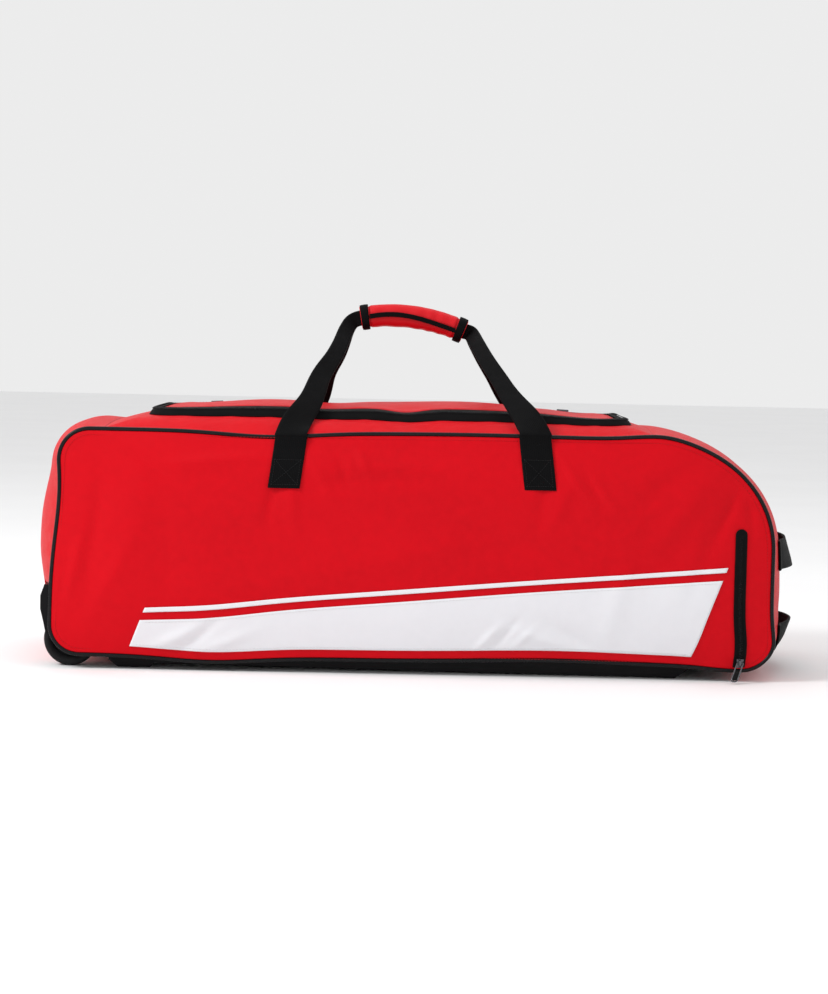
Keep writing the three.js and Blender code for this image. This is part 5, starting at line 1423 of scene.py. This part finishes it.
class KITBAG_OT_grip(bpy.types.Operator):
    """Padded wrap that holds the straps together, with its bindings"""
    bl_idname = "kitbag.grip"
    bl_label = "Grip"

    def execute(self, context):
        t = np.linspace(0, 1, 121)
        turn = np.linspace(0, 2 * math.pi, GRIP_SIDES + 1)[:-1]
        depth, width = GRIP_PINCH
        pinch = -depth * sum(bell((t - share) / width) for share in FLAP_SHARES)
        ripple = puckered(t, GRIP_PUCKER)[:, None] * (0.6 + 0.4 * np.sin(3 * turn))[None, :]
        edge_fade = (smooth(0.08, 0.16, t) * smooth(0.92, 0.84, t))[:, None]
        lower = smooth(0.1, -0.15, np.sin(turn))[None, :] * smooth(0.3, -0.1, np.cos(turn))[None, :]
        lift = pinch[:, None] + edge_fade * (ripple - GRIP_DENT * lower - 0.2)
        outer = grip_section(t, grip_height(t), GRIP_DEPTH, lift - 0.05, GRIP_SIDES)
        inner = grip_section(t, np.full_like(t, GRIP_SLOT[0]), GRIP_SLOT[1], 0.0, GRIP_SIDES, power=0.3)
        wrap = surface("grip_wrap_padding", np.concatenate([outer, inner[::-1]]), ring=True, tube=True)
        recalculated(wrap)
        dress(wrap, finish_of("grip_cloth"), nodes=["grip_wrap"])

        width = BINDING_WIDTH / GRIP_LENGTH
        for name, start in (("grip_binding_wheel_end", BINDING_INSET),
                            ("grip_binding_tow_end", 1 - BINDING_INSET - width)):
            t = start + width * np.linspace(0, 1, 7)
            crown = 0.35 * np.sin(np.linspace(0, math.pi, 7))[:, None]
            outside, inside = (grip_section(t, grip_height(t), GRIP_DEPTH, lift, GRIP_SIDES)
                               for lift in (LAY_GAP + BINDING_THICKNESS + crown, LAY_GAP + 0 * crown))
            band = surface(f"{name}_tape", np.concatenate([outside, inside[::-1]]), ring=True, tube=True)
            recalculated(band)
            dress(band, finish_of("webbing"), nodes=[name])

        t = np.linspace(*FLAP_SHARES, 90)
        front = grip_section(t, grip_height(t), GRIP_DEPTH, LAY_GAP + BINDING_THICKNESS, 14)[:, 7]
        front = front + np.array([0.0, 0.0, 1.0]) * flap_rise(t)[:, None]
        section = strap_profile(np.full(len(t), FLAP_TAPE_WIDTH), np.full(len(t), BINDING_THICKNESS))
        points = (front[:, None] + section[..., :1] * np.array([0.0, 0.0, 1.0])
                  + section[..., 1:] * np.array([0.0, 1.0, 0.0]))
        tape = surface("grip_flap_tape", points, tube=True, capped=True)
        dress(tape, finish_of("webbing"), nodes=["grip_flap_binding"])
        return {"FINISHED"}


def recalculated(obj):
    """Turns every face of a closed shape outwards."""
    shape = bmesh.new()
    shape.from_mesh(obj.data)
    bmesh.ops.recalc_face_normals(shape, faces=shape.faces)
    shape.to_mesh(obj.data)
    shape.free()


def tow_face_x(z, y):
    """Outer face of the tow end at heights z, a row for each place y across the bag."""
    seam_x, seam_z, out, share = end_run("tow_end", 400)
    rows = np.array(TOW_END_CROWN)
    crown = TOW_END_SWELL * np.interp(1 - share, rows[:, 0], rows[:, 1])
    face = []
    for heights, v in zip(z, y[:, 0] / GUSSET_HALF):
        push = crown * (1 - v ** 2) + CLOTH / 2
        rising_z = np.maximum.accumulate(seam_z + push * out[:, 1])
        face.append(np.interp(heights, rising_z, seam_x + push * out[:, 0]))
    return np.array(face)


def tow_grid(name, places, shares, lift=0.0):
    """A tow handle's outer face: the tow end's own face plus a parabola that stands off it."""
    height, flare = TOW_HANDLES[name]
    sewn = 1 - TOW_TAB / TOW_HALF_SPAN
    y = places[:, None] * TOW_HALF_SPAN
    w = shares[None, :]
    z = BASE_Z + height + w * TOW_WIDTH / 2 + 0 * y
    arch = np.maximum(0, 1 - (places[:, None] / sewn) ** 2)
    push = TOW_TAB_GAP + TOW_THICKNESS + arch * (TOW_STAND_OFF + flare * w) + lift
    return np.stack([tow_face_x(z, y) + push, y + 0 * z, z], axis=-1)


class KITBAG_OT_tow_handles(bpy.types.Operator):
    """Two webbing handles across the tow end"""
    bl_idname = "kitbag.tow_handles"
    bl_label = "Tow handles"

    def execute(self, context):
        for name in TOW_HANDLES:
            grid = tow_grid(name, np.linspace(-1, 1, 121), np.linspace(-1, 1, 21))
            strap = surface(f"{name}_webbing", grid, away=BAG_MIDDLE)
            dress(thicken(strap, TOW_THICKNESS), finish_of("webbing"), nodes=[name])
        return {"FINISHED"}


def pocket_strip(width, low, high, lift):
    """A strip down the pocket zip, whose head is a half circle."""
    turn = np.linspace(0.05, 0.98, 14) * math.pi / 2
    straight = np.linspace(low, high - width / 2, 110)
    z = np.concatenate([straight, high - width / 2 + width / 2 * np.sin(turn)])
    half = np.concatenate([np.full(len(straight), width / 2), width / 2 * np.cos(turn)])
    x = POCKET_ZIP_X + half[:, None] * np.linspace(-1, 1, 9)[None, :]
    return side_point(-1, x, z[:, None] + 0 * x, lift)


class KITBAG_OT_pocket_zip(bpy.types.Operator):
    """Zip down the front at the tow end, with its pull"""
    bl_idname = "kitbag.pocket_zip"
    bl_label = "Pocket zip"

    def execute(self, context):
        low, high = POCKET_ZIP_Z
        strip = pocket_strip(POCKET_TAPE_WIDTH, low, high, LAY_GAP + POCKET_TAPE)
        tape = surface("pocket_zip_tape_cloth", strip, away=BAG_MIDDLE)
        dress(thicken(tape, POCKET_TAPE), finish_of("zip_tape"), nodes=["pocket_zip_tape"])
        line = np.linspace(low + POCKET_SLIDER_REACH, high - POCKET_TAPE_WIDTH / 2, 160)
        lift = LAY_GAP + POCKET_TAPE + POCKET_TEETH.lift
        middle = side_point(-1, np.full_like(line, POCKET_ZIP_X), line, lift)
        teeth = coil("pocket_zip_coil", resampled(middle, POCKET_TEETH.pitch), np.array([1.0, 0.0, 0.0]),
                     np.array([0.0, -1.0, 0.0]), POCKET_TEETH)
        dress(teeth, finish_of("teeth"), nodes=["pocket_zip_chain"])
        pull_grid, tongue_grid = pull_shapes()
        ring = surface("pocket_pull_wire", pull_grid, ring=True, tube=True)
        recalculated(ring)
        dress(ring, finish_of("metal"), body="pull", nodes=["pocket_zip_pull"])
        tongue = surface("pocket_pull_tongue", tongue_grid, tube=True, capped=True)
        recalculated(tongue)
        dress(tongue, finish_of("plastic"), body="pull")
        return {"FINISHED"}


def pull_shapes():
    """The pull's wire ring, a slanted loop with round bends, and the flat tongue that fills its foot,
    both leaning out from the slider's eye."""
    low, high = node_box("pocket_zip_slider")
    eye = np.array([(low[0] + high[0]) / 2, low[1] + PULL_EYE[0], (low[2] + high[2]) / 2 + PULL_EYE[1]])
    half = PULL_WIDTH / 2 - PULL_WIRE / 2
    foot = PULL_LENGTH - PULL_WIRE
    turn = np.linspace(0, math.pi / 2, 9)

    def bend(side, end, inward, radius):
        """Quarter turn from a straight side into an end, with the loop's inside above it or below."""
        return np.stack([side * (half - radius * (1 - np.cos(turn))),
                         end + inward * radius * (1 - np.sin(turn))], axis=1)

    path = np.concatenate([
        bend(-1, 0, -1, PULL_HEAD_BEND)[::-1], bend(-1, -foot, 1, PULL_FOOT_BEND),
        bend(1, -foot, 1, PULL_FOOT_BEND)[::-1], bend(1, 0, -1, PULL_HEAD_BEND)])
    path[:, 0] += math.tan(PULL_SLANT) * path[:, 1]
    step = unit(np.roll(path, -1, axis=0) - np.roll(path, 1, axis=0))
    out = np.stack([step[:, 1], -step[:, 0]], axis=1)
    around = np.linspace(0, 2 * math.pi, 13)[:-1]
    r = PULL_WIRE / 2 * 0.92
    flat = path[:, None] + r * np.cos(around)[None, :, None] * out[:, None]
    through = np.broadcast_to(r * np.sin(around), flat.shape[:2])
    ring = np.stack([flat[..., 0], through, flat[..., 1]], axis=-1)

    down = -foot * np.linspace(*TONGUE_SHARES, 12)
    width = 2 * (half - PULL_WIRE / 2 + 0.2)
    section = strap_profile(np.full(len(down), width), np.full(len(down), TONGUE_THICKNESS))
    tongue = np.stack([section[..., 0] + (math.tan(PULL_SLANT) * down)[:, None],
                       section[..., 1], np.broadcast_to(down[:, None], section.shape[:2])], axis=-1)
    cos, sin = math.cos(PULL_LEAN), math.sin(PULL_LEAN)
    spin = np.array([[1, 0, 0], [0, cos, sin], [0, -sin, cos]])
    return ring @ spin.T + eye, tongue @ spin.T + eye


def mirrored(half):
    """A wheel's whole section, from half of it."""
    half = np.asarray(half, dtype=float)
    return np.concatenate([half * (1, -1), half[::-1]])


class KITBAG_OT_wheels(bpy.types.Operator):
    """Grooved tyres and ribbed hubs"""
    bl_idname = "kitbag.wheels"
    bl_label = "Wheels"

    def execute(self, context):
        tread, boss = WHEEL_WIDTH / 2, HUB_WIDTH / 2
        tyre = mirrored([(HUB_RADIUS + SEAM_GAP, tread * 0.7),
                         *((WHEEL_RADIUS * reach, tread * share) for reach, share in TYRE_SECTION)])
        hub = mirrored([(AXLE_RADIUS + RUNNING_GAP, boss),
                        *((AXLE_RADIUS * reach, boss * share) for reach, share in HUB_BOSS),
                        *((HUB_RADIUS * reach, boss * share) for reach, share in HUB_FACE)])
        hollows, depth, place, width = HUB_HOLLOWS
        turn = np.linspace(0, 2 * math.pi, 121)[:-1]
        dish = bell((hub[:, 0] - HUB_RADIUS * place) / (HUB_RADIUS * width))
        hollow = smooth(-0.2, 0.5, np.cos(hollows * turn))[:, None] * dish[None, :]
        for name, side in (("front", -1), ("back", 1)):
            for part, profile, key, slot in (("tyre", tyre, "tyre", "tyre"),
                                             ("hub", hub, "plastic", "black_plastic")):
                reach = np.broadcast_to(profile[None, :, 0], (len(turn), len(profile)))
                offset = np.broadcast_to(profile[None, :, 1], reach.shape).copy()
                if part == "hub":
                    offset -= np.sign(offset) * depth * hollow
                points = np.stack([WHEEL_X + reach * np.cos(turn)[:, None], side * TRACK_HALF + offset,
                                   WHEEL_RADIUS + reach * np.sin(turn)[:, None]], axis=-1)
                wheel = surface(f"wheel_{part}_{name}_ring", points, ring=True, tube=True)
                recalculated(wheel)
                dress(wheel, finish_of(key), body=f"wheel_{name}", nodes=[f"wheel_{part}_{name}"])
        return {"FINISHED"}


KEPT_NODES = {
    "wheel_housing_front": "plastic", "wheel_housing_back": "plastic", "wheel_axle_front": "steel",
    "wheel_axle_back": "steel", "skid_rail_front": "plastic", "skid_rail_back": "plastic",
    "lid_slider_wheel_end": "metal", "lid_slider_tow_end": "metal", "pocket_zip_slider": "metal",
}


class KITBAG_OT_moulded_parts(bpy.types.Operator):
    """Finishes for the housings, axles, rails and sliders, which keep the frame's shapes"""
    bl_idname = "kitbag.moulded_parts"
    bl_label = "Moulded parts"

    def execute(self, context):
        for name, key in KEPT_NODES.items():
            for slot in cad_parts[name].material_slots:
                slot.material = finish_of(key)
        return {"FINISHED"}


class KITBAG_OT_stitching(bpy.types.Operator):
    """Rows of stitches along the seams, the zips and the straps"""
    bl_idname = "kitbag.stitching"
    bl_label = "Stitching"

    def execute(self, context):
        pitch = context.scene.kit_bag_cloth.stitch_pitch * 1000
        runs = []
        for side in (-1, 1):
            line = np.concatenate([corner_points(name, SEAM_STITCH_INSET) for name in
                                   ("wheel_end_low", "tow_end_low", "shoulder", "wheel_end_top")])
            points = side_point(side, line[:, 0], line[:, 1], 0.12)
            runs.append(stitch_run(points, np.array([0.0, side, 0.0]), pitch, closed=True))
        edge, _ = lid_loop(LID_STATIONS)
        hem = edge + unit(foot_centre(edge) - edge) * HEM_STITCH_INSET
        points = np.stack([hem[:, 0], hem[:, 1], lid_height(hem[:, 0], hem[:, 1]) + 0.25], axis=1)
        runs.append(stitch_run(points, np.array([0.0, 0.0, 1.0]), pitch, closed=True))
        share, width, height = SEAM_STITCH
        stitches = dashes("seam_stitches", *joined(runs), pitch * share, width, height)
        dress(stitches, finish_of("red_thread"))

        runs = []
        lift = LAY_GAP + WEBBING_THICKNESS + 0.1
        for side, end in ((-1, -1), (-1, 1), (1, -1), (1, 1)):
            for first, last in box_stitches():
                spot = first + (last - first) * np.linspace(0, 1, 14)[:, None]
                t = spot[:, 1] / STRAP_BASE
                x = STRAP_OFFSET_X + end * (STRAP_HALF_SPACING - STRAP_SKEW * t)
                points = side_point(side, x, TOP_Z - STRAP_BASE + spot[:, 1], lift)
                points[:, 0] += spot[:, 0]
                runs.append(stitch_run(points, np.array([0.0, side, 0.0]), STRAP_STITCH_PITCH))
        for name in TOW_HANDLES:
            for place in TOW_STITCH_PLACES:
                line = tow_grid(name, np.array([place]), np.linspace(-0.88, 0.88, 24), 0.1)[0]
                runs.append(stitch_run(line, np.array([1.0, 0.0, 0.0]), TOW_STITCH_PITCH))
        stitches = dashes("strap_stitches", *joined(runs), *STRAP_STITCH)
        dress(stitches, finish_of("black_thread"))

        runs = []
        for height_at in (lambda u: flash_low(u) + FLASH_STITCH_INSET,
                          lambda u: flash_high(u) - FLASH_STITCH_INSET):
            band = front_band(height_at, height_at, 1, 500)[:, 0] + np.array([0.0, -0.1, 0.0])
            runs.append(stitch_run(band[6:-6], np.array([0.0, -1.0, 0.0]), pitch))
        share, width, height = FLASH_STITCH
        stitches = dashes("flash_stitches", *joined(runs), pitch * share, width, height)
        dress(stitches, finish_of("white_thread"))
        return {"FINISHED"}


def box_stitches():
    """The box and cross sewn through a strap's base, as pairs of points across and up from its foot."""
    half, low, high = BOX_STITCH
    a, b = np.array([-half, low]), np.array([half, low])
    c, d = np.array([half, high]), np.array([-half, high])
    return ((a, b), (b, c), (c, d), (d, a), (a, c), (b, d))


class KITBAG_PT_panel(bpy.types.Panel):
    """The bag's sizes, colours and pieces"""
    bl_idname = "KITBAG_PT_panel"
    bl_label = "Kit bag"
    bl_space_type = "VIEW_3D"
    bl_region_type = "UI"
    bl_category = "Kit bag"

    def draw(self, context):
        layout = self.layout
        scene = context.scene
        for group in (scene.kit_bag_cloth, scene.kit_bag_straps, scene.kit_bag_stage):
            box = layout.box()
            for key in group.__annotations__:
                box.prop(group, key)
        column = layout.column()
        for operator in OPERATORS:
            column.operator(operator.bl_idname)


OPERATORS = (
    KITBAG_OT_stage, KITBAG_OT_sides, KITBAG_OT_piping, KITBAG_OT_ends, KITBAG_OT_base, KITBAG_OT_top,
    KITBAG_OT_lid_zip, KITBAG_OT_flash, KITBAG_OT_carry_straps, KITBAG_OT_grip, KITBAG_OT_tow_handles,
    KITBAG_OT_pocket_zip, KITBAG_OT_wheels, KITBAG_OT_moulded_parts, KITBAG_OT_stitching,
)
CLASSES = (KitBagCloth, KitBagStraps, KitBagStage, *OPERATORS, KITBAG_PT_panel)


def register():
    for item in CLASSES:
        bpy.utils.register_class(item)
    bpy.types.Scene.kit_bag_cloth = bpy.props.PointerProperty(type=KitBagCloth)
    bpy.types.Scene.kit_bag_straps = bpy.props.PointerProperty(type=KitBagStraps)
    bpy.types.Scene.kit_bag_stage = bpy.props.PointerProperty(type=KitBagStage)


def unregister():
    del bpy.types.Scene.kit_bag_stage
    del bpy.types.Scene.kit_bag_straps
    del bpy.types.Scene.kit_bag_cloth
    for item in reversed(CLASSES):
        bpy.utils.unregister_class(item)


def main():
    register()
    bpy.ops.kitbag.stage()
    bpy.ops.kitbag.sides()
    bpy.ops.kitbag.piping()
    bpy.ops.kitbag.ends()
    bpy.ops.kitbag.base()
    bpy.ops.kitbag.top()
    bpy.ops.kitbag.lid_zip()
    bpy.ops.kitbag.flash()
    bpy.ops.kitbag.carry_straps()
    bpy.ops.kitbag.grip()
    bpy.ops.kitbag.tow_handles()
    bpy.ops.kitbag.pocket_zip()
    bpy.ops.kitbag.wheels()
    bpy.ops.kitbag.moulded_parts()
    bpy.ops.kitbag.stitching()


if __name__ == "__main__":
    main()
